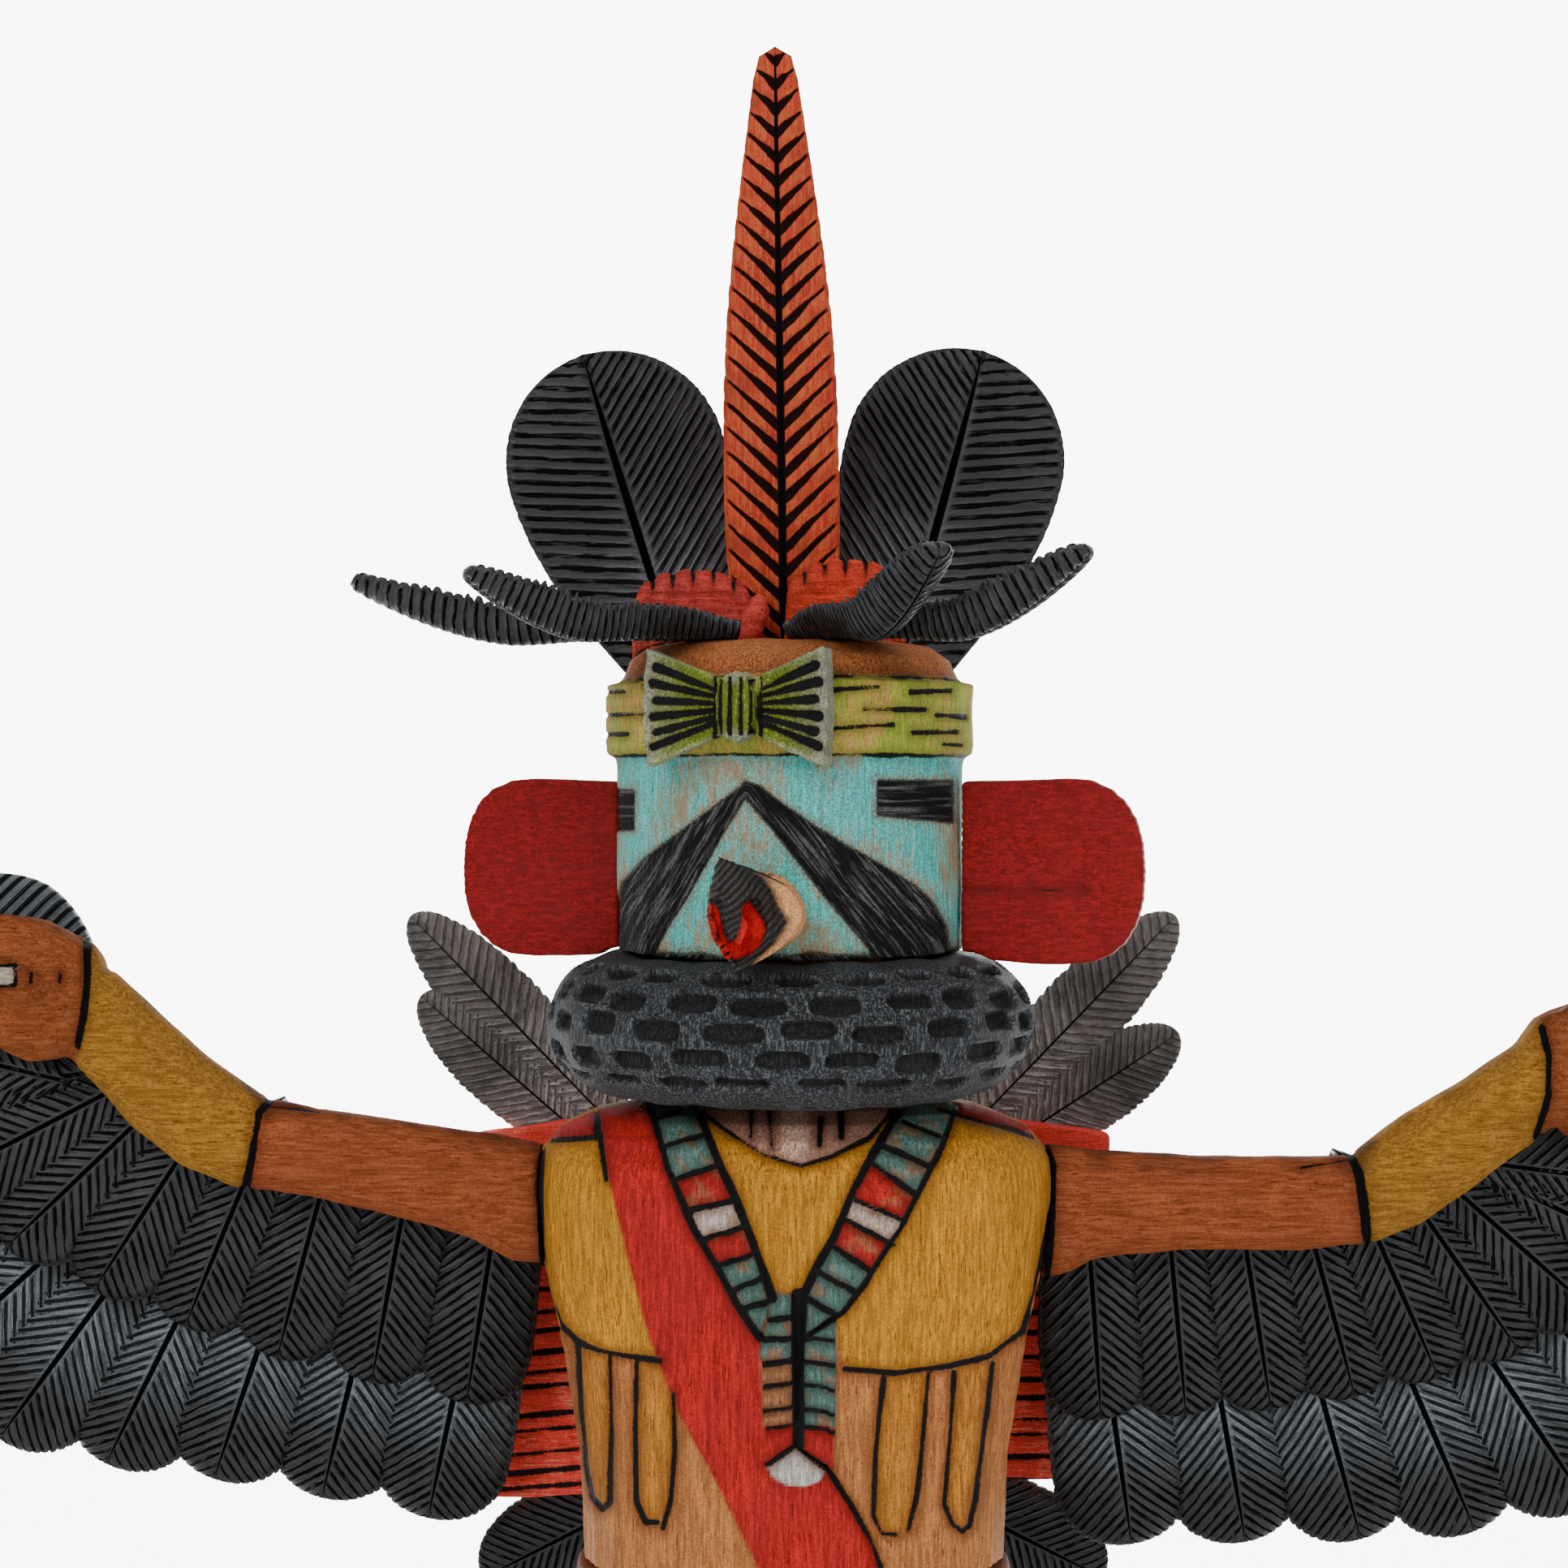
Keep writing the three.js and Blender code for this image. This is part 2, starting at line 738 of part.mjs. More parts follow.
function armRings(sections, side) {
  const sides = 10;
  return sections.map(([reach, level, half, depth], i) => {
    const before = sections[Math.max(0, i - 1)];
    const after = sections[Math.min(sections.length - 1, i + 1)];
    const slope = Math.atan2(after[1] - before[1], after[0] - before[0]);
    const cut = i === 0 ? 0 : slope;
    return Array.from({ length: sides }, (_, k) => {
      const angle = (k / sides) * 2 * Math.PI;
      const round = (v) => Math.sign(v) * Math.abs(v) ** 0.86;
      const high = half * round(Math.sin(angle));
      const out = depth * round(Math.cos(angle));
      return point(side * (reach - high * Math.sin(cut)), out, level + high * Math.cos(cut));
    });
  });
}

// The fist: a rounded block with a thumb across its front and grooves between the fingers
function handSolid(side, wrist, slope) {
  const [reach, level] = wrist;
  const sides = 10;
  const swells = [[-0.5, 0.8], [-0.3, 1], [0.1, 1], [0.4, 0.86], [0.5, 0.67]];
  const rings = swells.map(([share, swell]) => Array.from({ length: sides }, (_, k) => {
    const angle = (k / sides) * 2 * Math.PI;
    const round = (v) => Math.sign(v) * Math.abs(v) ** 0.8;
    return point(
      share * handWidth,
      swell * handDepth / 2 * round(Math.cos(angle)),
      swell * handHeight / 2 * round(Math.sin(angle)),
    );
  }));
  const fist = solidOf(loft(rings));
  const thumb = new THREE.CapsuleGeometry(thumbRadius, handWidth * 0.47, 2, 7);
  thumb.rotateZ(Math.PI / 2).translate(handWidth * 0.12, -handDepth / 2 + 0.3, 0.8);
  const groove = (share) => solidOf(new THREE.BoxGeometry(handWidth * 0.47, 2.4, 0.9)
    .translate(handWidth * 0.36, -handDepth / 2 + 0.4, share * handHeight));
  const whole = fist.subtract(joined([0.25, -0.2, -0.34].map(groove))).add(solidOf(thumb));
  const geometry = geometryFrom(whole);
  geometry.rotateY(-slope);
  if (side < 0) geometry.rotateZ(Math.PI).scale(1, -1, 1);
  const past = handWidth * 0.42;
  geometry.translate(side * (reach + past), 0, level + past * Math.tan(slope) * 0.6);
  return geometry;
}

function arm(side) {
  const sections = armSections(side);
  const limb = solidOf(loft(armRings(sections, side)));
  const wrist = sections[sections.length - 1];
  const hand = handSolid(side, wrist, handSlope);
  const order = side < 0 ? flipped(hand) : hand;
  const whole = geometryFrom(limb.add(solidOf(order)));
  return geometryFrom(solidOf(bent(whole)).subtract(torsoSolid(gap)));
}

// Turns the faces of a mirrored body the right way again
function flipped(geometry) {
  geometry.setIndex(Array.from(geometry.index.array).reverse());
  return geometry;
}

// Wings: two rows of overlapping feathers in a fan

function wingRow({ side, count, tips, leans, lengths, width, front, thickness }) {
  const line = new THREE.CatmullRomCurve3(tips.map(([out, up]) => point(
    side * (shoulderHalfWidth + out * wingReach),
    0,
    collarLevel + up * wingReach,
  )));
  return Array.from({ length: count }, (_, i) => {
    const share = i / (count - 1);
    const tip = line.getPointAt(share);
    const lean = side * degrees(mix(leans[0], leans[1], share ** leans[2]));
    const length = wingReach * mix(lengths[0], lengths[1], share);
    const root = point(tip.x - Math.sin(lean) * length, 0, tip.z + Math.cos(lean) * length);
    return solidOf(flatBlade({
      root,
      lean,
      length,
      outline: leaf(width / 2, 0.62, 0.78, 2.2, 0.34),
      front: front + (i % 2) * featherStagger,
      ridge: thickness,
      edge: thickness - wingRidge,
      rows: 4,
    }));
  });
}

// The rounded leading edge rises from behind the wrist and runs over the back of the hand
function wingEdge(side, route, front, thickness) {
  const curve = new THREE.SplineCurve(route.map(([out, up]) => new THREE.Vector2(
    side * (shoulderHalfWidth + out * wingReach),
    collarLevel + up * wingReach,
  )));
  const outline = curve.getPoints(16).map((p) => [p.x, p.y]);
  return solidOf(plate(outline, front, thickness));
}

// Tip lines of the rows and outline of the leading edge, as shares of the wing's reach from its
// shoulder at collar level
const wingTips = {
  left: {
    lower: [[0.156, -0.594], [0.458, -0.536], [0.729, -0.483], [0.906, -0.36], [0.997, -0.135]],
    upper: [[0.1, -0.43], [0.315, -0.38], [0.556, -0.294], [0.78, -0.17], [0.97, 0.1]],
    edge: [[0.6, 0.12], [0.617, 0.214], [0.675, 0.285], [0.77, 0.3], [0.87, 0.27],
      [0.95, 0.19], [0.96, 0.06], [0.8, 0.01]],
  },
  right: {
    lower: [[0.118, -0.63], [0.445, -0.62], [0.706, -0.583], [0.906, -0.46], [1.01, -0.21]],
    upper: [[0.073, -0.452], [0.288, -0.44], [0.497, -0.402], [0.75, -0.3], [0.975, -0.04]],
    edge: [[0.64, 0.02], [0.664, 0.09], [0.704, 0.116], [0.78, 0.12], [0.88, 0.08],
      [0.96, 0], [0.97, -0.1], [0.8, -0.13]],
  },
};

function wing(side) {
  const tips = side < 0 ? wingTips.left : wingTips.right;
  const front = armDepth / 2 + gap + 0.5;
  const lower = wingRow({
    side,
    count: lowerFeathers,
    tips: tips.lower,
    leans: [side < 0 ? 12 : 8, 78, 1.8],
    lengths: [0.41, 0.46],
    width: lowerFeatherWidth,
    front: front + wingThickness * 0.4,
    thickness: wingThickness * 0.6,
  });
  const upper = wingRow({
    side,
    count: side < 0 ? upperFeathersLeft : upperFeathersRight,
    tips: tips.upper,
    leans: [side < 0 ? 9 : 4, 104, 2],
    lengths: [0.3, 0.32],
    width: upperFeatherWidth,
    front,
    thickness: wingThickness * 0.76,
  });
  const edge = wingEdge(side, tips.edge, front + 1.2, wingThickness * 0.6);
  return bent(geometryFrom(joined([edge, ...lower, ...upper])));
}

// Back panel with an arched top

function backPanel() {
  const top = collarLevel - 4;
  const outline = [
    [-panelHalfWidth + 0.5, top - panelHeight],
    [panelHalfWidth - 0.5, top - panelHeight + 3],
  ];
  const steps = 8;
  for (let i = 0; i <= steps; i += 1) {
    const share = 1 - (2 * i) / steps;
    outline.push([share * panelHalfWidth, top - 4 * share * share]);
  }
  return plate(outline, torsoBack + gap, panelThickness);
}

function capeFeathers(side) {
  const front = torsoBack + panelThickness + 2 * gap;
  const lobes = [
    { out: 0.653, drop: 0.18, lean: 136, share: 1 },
    { out: 0.757, drop: 0.226, lean: 133, share: 0.79 },
  ];
  const blades = lobes.map(({ out, drop, lean, share }) => solidOf(flatBlade({
    root: point(side * out * shoulderHalfWidth, 0, collarLevel - drop * torsoHeight),
    lean: side * degrees(lean),
    length: capeLength * share,
    outline: leaf(capeWidth / 2, 0.5, 0.6, 2, 0.2),
    front,
    ridge: capeThickness,
    edge: 1.2,
    rows: 6,
  })));
  return geometryFrom(joined(blades));
}

function tailFan() {
  const front = torsoBack + panelThickness + 2 * gap;
  const rootLevel = waistLevel + 8;
  const feathers = Array.from({ length: tailFeathers }, (_, i) => {
    const share = i / (tailFeathers - 1) * 2 - 1;
    return solidOf(flatBlade({
      root: point(share * tailRootSpread, 0, rootLevel),
      lean: share * tailSpread,
      length: tailLength * (1 - 0.12 * Math.abs(share)),
      outline: leaf(tailWidth / 2, 0.4, 0.72, 2, 0.3),
      front: front + (i % 2) * featherStagger,
      ridge: tailThickness,
      edge: tailThickness - 1.2,
      rows: 4,
    }));
  });
  const fan = geometryFrom(joined(feathers));
  fan.translate(0, -front, -rootLevel).rotateX(tailTilt).translate(0, front, rootLevel);
  return geometryFrom(solidOf(fan).subtract(kiltSolid(gap)));
}

// The assembled doll

const model = new THREE.Group();

function add(name, geometry, color) {
  const material = new THREE.MeshStandardMaterial({ color, roughness: 0.75, metalness: 0 });
  const mesh = new THREE.Mesh(geometry, material);
  mesh.name = name;
  model.add(mesh);
}

const wood = 0xb57a48;
const black = 0x232427;
const red = 0xa82c28;

add('base', base(), wood);
add('body', body(), wood);
add('head', geometryFrom(headSolid(0)), 0x69afac);
add('ruff', geometryFrom(ruffSolid(0, ruffPitDepth)), black);
add('beak', beak(), 0x3a3634);
add('headband_bow', headbandBow(), 0x8f9b40);
add('crest_feather', crestFeather(), 0xbf5538);
add('back_panel', backPanel(), red);
add('tail_fan', tailFan(), black);
for (const [word, side] of [['left', -1], ['right', 1]]) {
  add(`ear_${word}`, ear(side), 0x8c1f1f);
  add(`round_feather_${word}`, roundFeather(side), black);
  add(`side_feathers_${word}`, sideFeathers(side), black);
  add(`red_tuft_${word}`, redTuft(side), red);
  add(`arm_${word}`, arm(side), 0xa5562d);
  add(`wing_${word}`, wing(side), black);
  add(`cape_feathers_${word}`, capeFeathers(side), 0x46474a);
}

export default model;
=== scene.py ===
# Carved and painted wooden kachina doll, a winged dancer on a low round base.
# It faces -Y and stands on Z = 0. Left and right are the viewer's. Sizes are in millimetres.
import math
import bpy
import bmesh
import numpy as np
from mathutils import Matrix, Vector


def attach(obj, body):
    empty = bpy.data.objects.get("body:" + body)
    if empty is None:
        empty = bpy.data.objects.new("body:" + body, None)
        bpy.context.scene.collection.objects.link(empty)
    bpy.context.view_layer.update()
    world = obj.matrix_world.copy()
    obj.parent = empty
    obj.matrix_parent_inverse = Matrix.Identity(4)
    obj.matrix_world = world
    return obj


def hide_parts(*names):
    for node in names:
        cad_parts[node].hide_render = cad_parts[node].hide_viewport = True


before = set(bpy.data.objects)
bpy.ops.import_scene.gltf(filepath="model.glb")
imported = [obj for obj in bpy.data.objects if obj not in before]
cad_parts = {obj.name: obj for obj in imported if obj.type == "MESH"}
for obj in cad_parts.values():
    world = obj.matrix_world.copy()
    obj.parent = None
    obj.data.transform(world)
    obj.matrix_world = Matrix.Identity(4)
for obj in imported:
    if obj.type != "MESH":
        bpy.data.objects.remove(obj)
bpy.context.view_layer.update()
mm = 0.001
eye = {"x": -1.44, "y": -396.0, "z": 265.1, "lens": 61.49}
noLine = 20.0       # stands for a distance to any line that is too far to show
cycle = 6.28        # one turn of a sine, near enough
sides = (("left", -1), ("right", 1))


def colour(r, g, b):
    # a colour as it is read off a screen, 0 to 255, made linear
    parts = [c / 255 for c in (r, g, b)]
    return tuple(c / 12.92 if c < 0.04045 else ((c + 0.055) / 1.055) ** 2.4 for c in parts) + (1.0,)


def tint(r, g, b):
    return np.array(colour(r, g, b))


# Shader building

def make(tree, kind, inputs=None, **settings):
    node = tree.nodes.new("ShaderNode" + kind)
    for key, value in settings.items():
        setattr(node, key, value)
    for key, value in (inputs or {}).items():
        if isinstance(value, bpy.types.NodeSocket):
            tree.links.new(value, node.inputs[key])
        else:
            node.inputs[key].default_value = value
    return node


def newMaterial(name, roughness=0.7, specular=0.35):
    material = bpy.data.materials.new(name)
    material.use_nodes = True
    tree = material.node_tree
    tree.nodes.clear()
    shader = make(tree, "BsdfPrincipled", {"Roughness": roughness, "Specular IOR Level": specular})
    make(tree, "OutputMaterial", {"Surface": shader.outputs[0]})
    return material, tree, shader


def calc(tree, operation, a, b=0.0, c=0.0):
    return make(tree, "Math", {0: a, 1: b, 2: c}, operation=operation).outputs[0]


def fade(tree, value, low, high, start=0.0, end=1.0):
    inputs = {"Value": value, "From Min": low, "From Max": high, "To Min": start, "To Max": end}
    return make(tree, "MapRange", inputs, interpolation_type="SMOOTHSTEP").outputs[0]


def blendColour(tree, amount, under, over, how="MIX"):
    node = make(tree, "Mix", {0: amount, 6: under, 7: over}, data_type="RGBA", blend_type=how)
    return node.outputs[2]


def multiplied(tree, amount, paint, factors):
    return blendColour(tree, amount, paint, factors + (1,), "MULTIPLY")


def field(tree, name):
    return make(tree, "Attribute", attribute_name=name).outputs["Fac"]


def texturePlace(tree, scale, turn=(0, 0, 0)):
    # object coordinates in millimetres, divided by the size of the pattern along each axis
    coords = make(tree, "TexCoord").outputs["Object"]
    size = [1000 / s for s in scale]
    return make(tree, "Mapping", {"Vector": coords, "Scale": size, "Rotation": turn}).outputs[0]


def noise(tree, place, detail=4.0, rough=0.6, twist=0.0):
    inputs = {"Vector": place, "Scale": 1.0, "Detail": detail, "Roughness": rough, "Distortion": twist}
    return make(tree, "TexNoise", inputs).outputs["Fac"]


def grainScale(axis, along, across):
    scale = [across] * 3
    scale[axis] = along
    return scale


def bumped(tree, shader, heights):
    # several heights, each with its depth in millimetres, one Bump node after another
    normal = None
    for height, depth in heights:
        inputs = {"Height": height, "Distance": depth * mm, "Strength": 1.0}
        if normal is not None:
            inputs["Normal"] = normal
        normal = make(tree, "Bump", inputs).outputs[0]
    tree.links.new(normal, shader.inputs["Normal"])


woodLook = {"specular": 0.16, "axis": 2, "turn": (0, 0, 0), "shade": (0.55, 0.5, 0.46), "streak": 0.7,
            "patchy": 0.5, "wear": 0.9, "wearMost": 0.75, "under": (176, 118, 70), "pores": 0.6,
            "speckle": 0.2, "flecks": 0.25, "soot": 0.35, "grainDepth": 0.16, "speckDepth": 0.06,
            "scorch": 0.5, "rough": (0.55, 0.82), "cutColour": (30, 20, 16)}


def carvedDark(tree, look, paint, patch, speck, crumbs):
    # painted shapes cut out of the paint, from their signed distance, with brushed streaks of lighter grey
    # that are partly painted highlights
    ragged = calc(tree, "MULTIPLY_ADD", speck, 0.5, field(tree, "dark"))
    wide = calc(tree, "MULTIPLY_ADD", patch, 3.0, calc(tree, "MULTIPLY_ADD", speck, 1.2, ragged))
    halo = fade(tree, wide, 3.9, 2.0, 0.0, 0.7)
    paint = blendColour(tree, halo, paint, colour(*look["halo"]))
    paint = blendColour(tree, fade(tree, ragged, 0.75, 0.4, 0.0, 0.8), paint, colour(30, 22, 18))
    inside = fade(tree, ragged, 0.34, 0.2)
    # gouges run along each shape: the noise is drawn out by the distance across it
    slow = make(tree, "SeparateXYZ", {0: texturePlace(tree, (9, 9, 7))})
    across = calc(tree, "MULTIPLY", field(tree, "stripe"), 2.5)
    drawn = make(tree, "CombineXYZ", {0: across, 1: slow.outputs[2], 2: slow.outputs[0]}).outputs[0]
    gouge = noise(tree, drawn, 4, 0.6, 0.5)
    streak = calc(tree, "MULTIPLY", fade(tree, gouge, 0.48, 0.64), fade(tree, crumbs, 0.3, 0.6, 0.4, 1.0))
    # the streaks are lighter grey: brush marks, and a painted highlight along the gouged ridges
    blackWithHighlights = blendColour(tree, streak, colour(13, 13, 14), colour(*look["dark"]))
    return blendColour(tree, inside, paint, blackWithHighlights), (calc(tree, "MULTIPLY", gouge, inside), 0.6)


def paintedWood(name, **settings):
    # paint rubbed thin over wood: grain streaks, blotches, worn places, burned lines, and where a piece asks
    # for it, painted shade in its hollows
    look = dict(woodLook, **settings)
    material, tree, shader = newMaterial(name, specular=look["specular"])

    def grainNoise(along, across, *kind):
        return noise(tree, texturePlace(tree, grainScale(look["axis"], along, across), look["turn"]), *kind)

    def tinged(amount, factors):
        # the coat's own colour, multiplied, over the paint so far
        return blendColour(tree, amount, paint, multiplied(tree, 1.0, coat, factors))

    grain = grainNoise(7.0, 0.45, 5, 0.62, 0.15)
    fibre = grainNoise(3.2, 0.2, 3, 0.6)
    patch = noise(tree, texturePlace(tree, (9, 9, 14)), 4, 0.6, 0.4)
    speck = noise(tree, texturePlace(tree, (0.32, 0.32, 0.32)), 2, 0.7)
    pores = grainNoise(2.6, 0.24, 2, 0.5)
    if "colour" in look:
        coat = colour(*look["colour"])
    else:
        coat = make(tree, "Attribute", attribute_name="paint").outputs["Color"]
    darker = multiplied(tree, 1.0, coat, look["shade"])
    paint = blendColour(tree, fade(tree, grain, 0.62, 0.4, 0.0, look["streak"]), coat, darker)
    lighter = multiplied(tree, 1.0, paint, (1.28, 1.24, 1.2))
    paint = blendColour(tree, fade(tree, patch, 0.45, 0.68, 0.0, 0.8), paint, lighter)
    mixed = calc(tree, "MULTIPLY_ADD", patch, look["patchy"], calc(tree, "MULTIPLY", fibre, 0.75))
    worn = fade(tree, mixed, look["wear"], look["wear"] + 0.1, 0.0, look["wearMost"])
    paint = blendColour(tree, worn, paint, colour(*look["under"]))
    opened = calc(tree, "MULTIPLY_ADD", patch, 0.25, pores)
    paint = tinged(fade(tree, opened, 0.7, 0.82, 0.0, look["pores"]), (0.28, 0.2, 0.15))
    dusty = fade(tree, speck, 0.35, 0.7, 1 - look["speckle"], 1 + look["speckle"])
    grey = make(tree, "CombineColor", {0: dusty, 1: dusty, 2: dusty}).outputs[0]
    paint = blendColour(tree, 1.0, paint, grey, "MULTIPLY")
    crumbs = noise(tree, texturePlace(tree, (0.55, 0.55, 0.55)), 3, 0.7)
    flecked = calc(tree, "MULTIPLY_ADD", patch, 0.3, crumbs)
    paint = tinged(fade(tree, flecked, 0.76, 0.86, 0.0, look["flecks"]), (1.5, 1.42, 1.3))
    sooted = calc(tree, "MULTIPLY_ADD", fibre, 0.35, patch)
    paint = tinged(fade(tree, sooted, 0.52, 0.34, 0.0, look["soot"]), (0.36, 0.3, 0.26))
    if "stain" in look:
        paint = blendColour(tree, fade(tree, patch, 0.46, 0.64, 0.0, 0.7), paint, colour(*look["stain"]))
    heights = [(grain, look["grainDepth"]), (fibre, 0.1), (speck, look["speckDepth"])]
    if "dark" in look:
        paint, gouges = carvedDark(tree, look, paint, patch, speck, crumbs)
        heights.append(gouges)
    # painted shade in hollows, creases and joins, from the piece's 'cut' field
    if "cut" in look:
        cut = fade(tree, field(tree, "cut"), 0.15, 0.9, 0.0, look["cut"])
        paint = blendColour(tree, cut, paint, colour(*look["cutColour"]))
    # burned lines, from the distance to them: scorched brown beside, black within
    uneven = calc(tree, "MULTIPLY_ADD", patch, 0.9, calc(tree, "SUBTRACT", field(tree, "line"), 0.45))
    wobble = calc(tree, "MULTIPLY_ADD", speck, 0.4, calc(tree, "SUBTRACT", uneven, 0.2))
    smoke = calc(tree, "MULTIPLY_ADD", fibre, 0.8, wobble)
    paint = tinged(fade(tree, smoke, 2.4, 0.2, 0.0, look["scorch"]), (0.3, 0.22, 0.18))
    paint = blendColour(tree, fade(tree, wobble, 0.16, -0.06), paint, colour(13, 11, 11))
    tree.links.new(paint, shader.inputs["Base Color"])
    tree.links.new(fade(tree, mixed, 0.4, 0.85, *look["rough"]), shader.inputs["Roughness"])
    bumped(tree, shader, heights)
    return material


def featherPaint(name, look):
    # barbs and midrib from the piece's own map: across in U, barb number in V
    material, tree, shader = newMaterial(name, specular=look["specular"])
    place = make(tree, "UVMap", uv_map="barbs").outputs[0]
    split = make(tree, "SeparateXYZ", {0: place})
    across, number = split.outputs[0], split.outputs[1]
    away = calc(tree, "ABSOLUTE", across)
    streakPlace = make(tree, "Mapping", {"Vector": place, "Scale": (2.2, 3.1, 1)}).outputs[0]
    streak = noise(tree, streakPlace, 4, 0.65)
    fine = noise(tree, texturePlace(tree, (0.3, 0.3, 0.3)), 3, 0.65)
    patch = noise(tree, texturePlace(tree, (8, 8, 8)), 3, 0.55)
    wander = calc(tree, "MULTIPLY_ADD", streak, look["wander"], number)
    saw = calc(tree, "FRACT", wander)
    gap = calc(tree, "MULTIPLY", calc(tree, "ABSOLUTE", calc(tree, "SUBTRACT", saw, 0.5)), 2.0)
    width = fade(tree, away, 0.05, 1.0, *look["stroke"])
    barb = fade(tree, calc(tree, "SUBTRACT", gap, width), 0.08, -0.04)
    if "strokeEnd" in look:
        barb = calc(tree, "MULTIPLY", barb, fade(tree, away, look["strokeEnd"], look["strokeEnd"] - 0.08))
    barb = calc(tree, "MULTIPLY", barb, fade(tree, streak, 0.34, 0.5, look["faint"], 1.0))
    if "gap" in look:
        barb = calc(tree, "MULTIPLY", barb, fade(tree, away, look["gap"] * 0.4, look["gap"]))
    rib = fade(tree, away, look["rib"] * 1.5, look["rib"])
    coat = blendColour(tree, fade(tree, patch, 0.4, 0.65), colour(*look["colour"]), colour(*look["second"]))
    if "grain" in look:
        grain = noise(tree, texturePlace(tree, grainScale(2, 8, 0.35)), 5, 0.65, 0.1)
        coat = blendColour(tree, fade(tree, grain, 0.38, 0.6, 0.75, 0.0), coat, colour(*look["grain"]))
    if "sooty" in look:
        deep = multiplied(tree, 1.0, coat, (0.34, 0.26, 0.22))
        coat = blendColour(tree, fade(tree, fine, 0.52, 0.36, 0.0, look["sooty"]), coat, deep)
        coat = blendColour(tree, fade(tree, patch, 0.45, 0.3, 0.0, look["sooty"]), coat, deep)
    # light grey over the coat from the 'dust' field: drybrushed dust, and a painted highlight on the raised
    # parts of the feathers
    dustAndSheen = calc(tree, "ADD", field(tree, "dustAndSheen"), look["dustAll"])
    uneven = calc(tree, "MULTIPLY_ADD", fine, 0.5, streak)
    brushed = calc(tree, "MULTIPLY", dustAndSheen, fade(tree, uneven, 0.55, 1.0))
    coat = blendColour(tree, brushed, coat, colour(*look["dustAndSheenColour"]))
    lines = calc(tree, "MAXIMUM", calc(tree, "MULTIPLY", barb, look["barbDark"]), rib)
    coat = blendColour(tree, lines, coat, colour(*look["lineColour"]))
    tree.links.new(coat, shader.inputs["Base Color"])
    dull = fade(tree, lines, 0.1, 0.9, 0.0, 0.35)
    rough = calc(tree, "ADD", fade(tree, fine, 0.3, 0.7, *look["rough"]), dull)
    tree.links.new(rough, shader.inputs["Roughness"])
    shine = fade(tree, lines, 0.0, 1.0, look["specular"], 0.02)
    tree.links.new(shine, shader.inputs["Specular IOR Level"])
    bumped(tree, shader, [(calc(tree, "SUBTRACT", 1.0, lines), look["lineDepth"]), (fine, 0.07)])
    return material


# Measuring and shaping

def rawPoints(mesh):
    co = np.zeros(len(mesh.vertices) * 3)
    mesh.vertices.foreach_get("co", co)
    return co.reshape(-1, 3)


def points(mesh):
    return rawPoints(mesh) / mm


def setPoints(mesh, co):
    mesh.vertices.foreach_set("co", (co * mm).ravel())
    mesh.update()


def normals(mesh):
    no = np.zeros(len(mesh.vertices) * 3)
    mesh.vertex_normals.foreach_get("vector", no)
    return no.reshape(-1, 3)


def setField(mesh, name, values):
    layer = mesh.attributes.new(name, "FLOAT", "POINT")
    layer.data.foreach_set("value", np.asarray(values, np.float32))


def setPaint(mesh, values):
    layer = mesh.attributes.new("paint", "FLOAT_COLOR", "POINT")
    layer.data.foreach_set("color", np.asarray(values, np.float32).ravel())


def setBarbs(mesh, across, number):
    # the map that featherPaint reads: how far out each point is, and its barb's number
    corners = np.zeros(len(mesh.loops), int)
    mesh.loops.foreach_get("vertex_index", corners)
    layer = mesh.uv_layers.new(name="barbs")
    layer.data.foreach_set("uv", np.stack([across, number], axis=1)[corners].ravel())


def over(under, mask, top):
    # colours laid over others where the mask says
    return under * (1 - mask[:, None]) + top * mask[:, None]


def smoothStep(low, high, value):
    t = np.clip((value - low) / (high - low), 0, 1)
    return t * t * (3 - 2 * t)


def sightPlane(co):
    # where each point is seen from the front on an upright sheet through Y = 0
    near = -eye["y"] / (co[:, 1] - eye["y"])
    return eye["x"] + (co[:, 0] - eye["x"]) * near, eye["z"] + (co[:, 2] - eye["z"]) * near


def lineDistance(u, v, line):
    best = np.full(u.shape, 1e6)
    for (ax, ay), (bx, by) in zip(line[:-1], line[1:]):
        dx, dy = bx - ax, by - ay
        t = np.clip(((u - ax) * dx + (v - ay) * dy) / (dx * dx + dy * dy), 0, 1)
        best = np.minimum(best, np.hypot(u - ax - t * dx, v - ay - t * dy))
    return best


def shapeDistance(u, v, outline):
    # signed: negative inside the outline
    inside = np.zeros(u.shape, bool)
    for (ax, ay), (bx, by) in zip(outline, outline[1:] + outline[:1]):
        crosses = (ay > v) != (by > v)
        inside ^= crosses & (u < (bx - ax) * (v - ay) / ((by - ay) or 1e-9) + ax)
    edge = lineDistance(u, v, outline + outline[:1])
    return np.where(inside, -edge, edge)


def nearestLine(u, v, lines):
    # distance to the edge of the nearest burned line; each is (half width, its points)
    best = np.full(u.shape, 50.0)
    for half, line in lines:
        best = np.minimum(best, lineDistance(u, v, line) - half)
    return best


def waves(co, size, seed):
    # smooth seeded lumps for uneven hand carving, between -1 and 1
    rng = np.random.default_rng(seed)
    total = np.zeros(len(co))
    for _ in range(7):
        direction = rng.normal(size=3)
        direction /= np.linalg.norm(direction)
        turn = rng.uniform(0, cycle)
        total += np.sin(co @ direction * cycle / (size * rng.uniform(0.7, 1.5)) + turn)
    return total / 4


def meshFrom(bm, name):
    mesh = bpy.data.meshes.new(name)
    bm.to_mesh(mesh)
    bm.free()
    return mesh


def newObject(name, data):
    made = bpy.data.objects.new(name, data)
    bpy.context.scene.collection.objects.link(made)
    return made


def addPiece(name, mesh, nodes, materials):
    piece = newObject(name, mesh)
    mesh.materials.clear()
    for material in materials:
        mesh.materials.append(material)
    mesh.polygons.foreach_set("use_smooth", [True] * len(mesh.polygons))
    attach(piece, "root")
    if nodes:
        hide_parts(*nodes)
    print("made", name, len(mesh.polygons))
    return piece


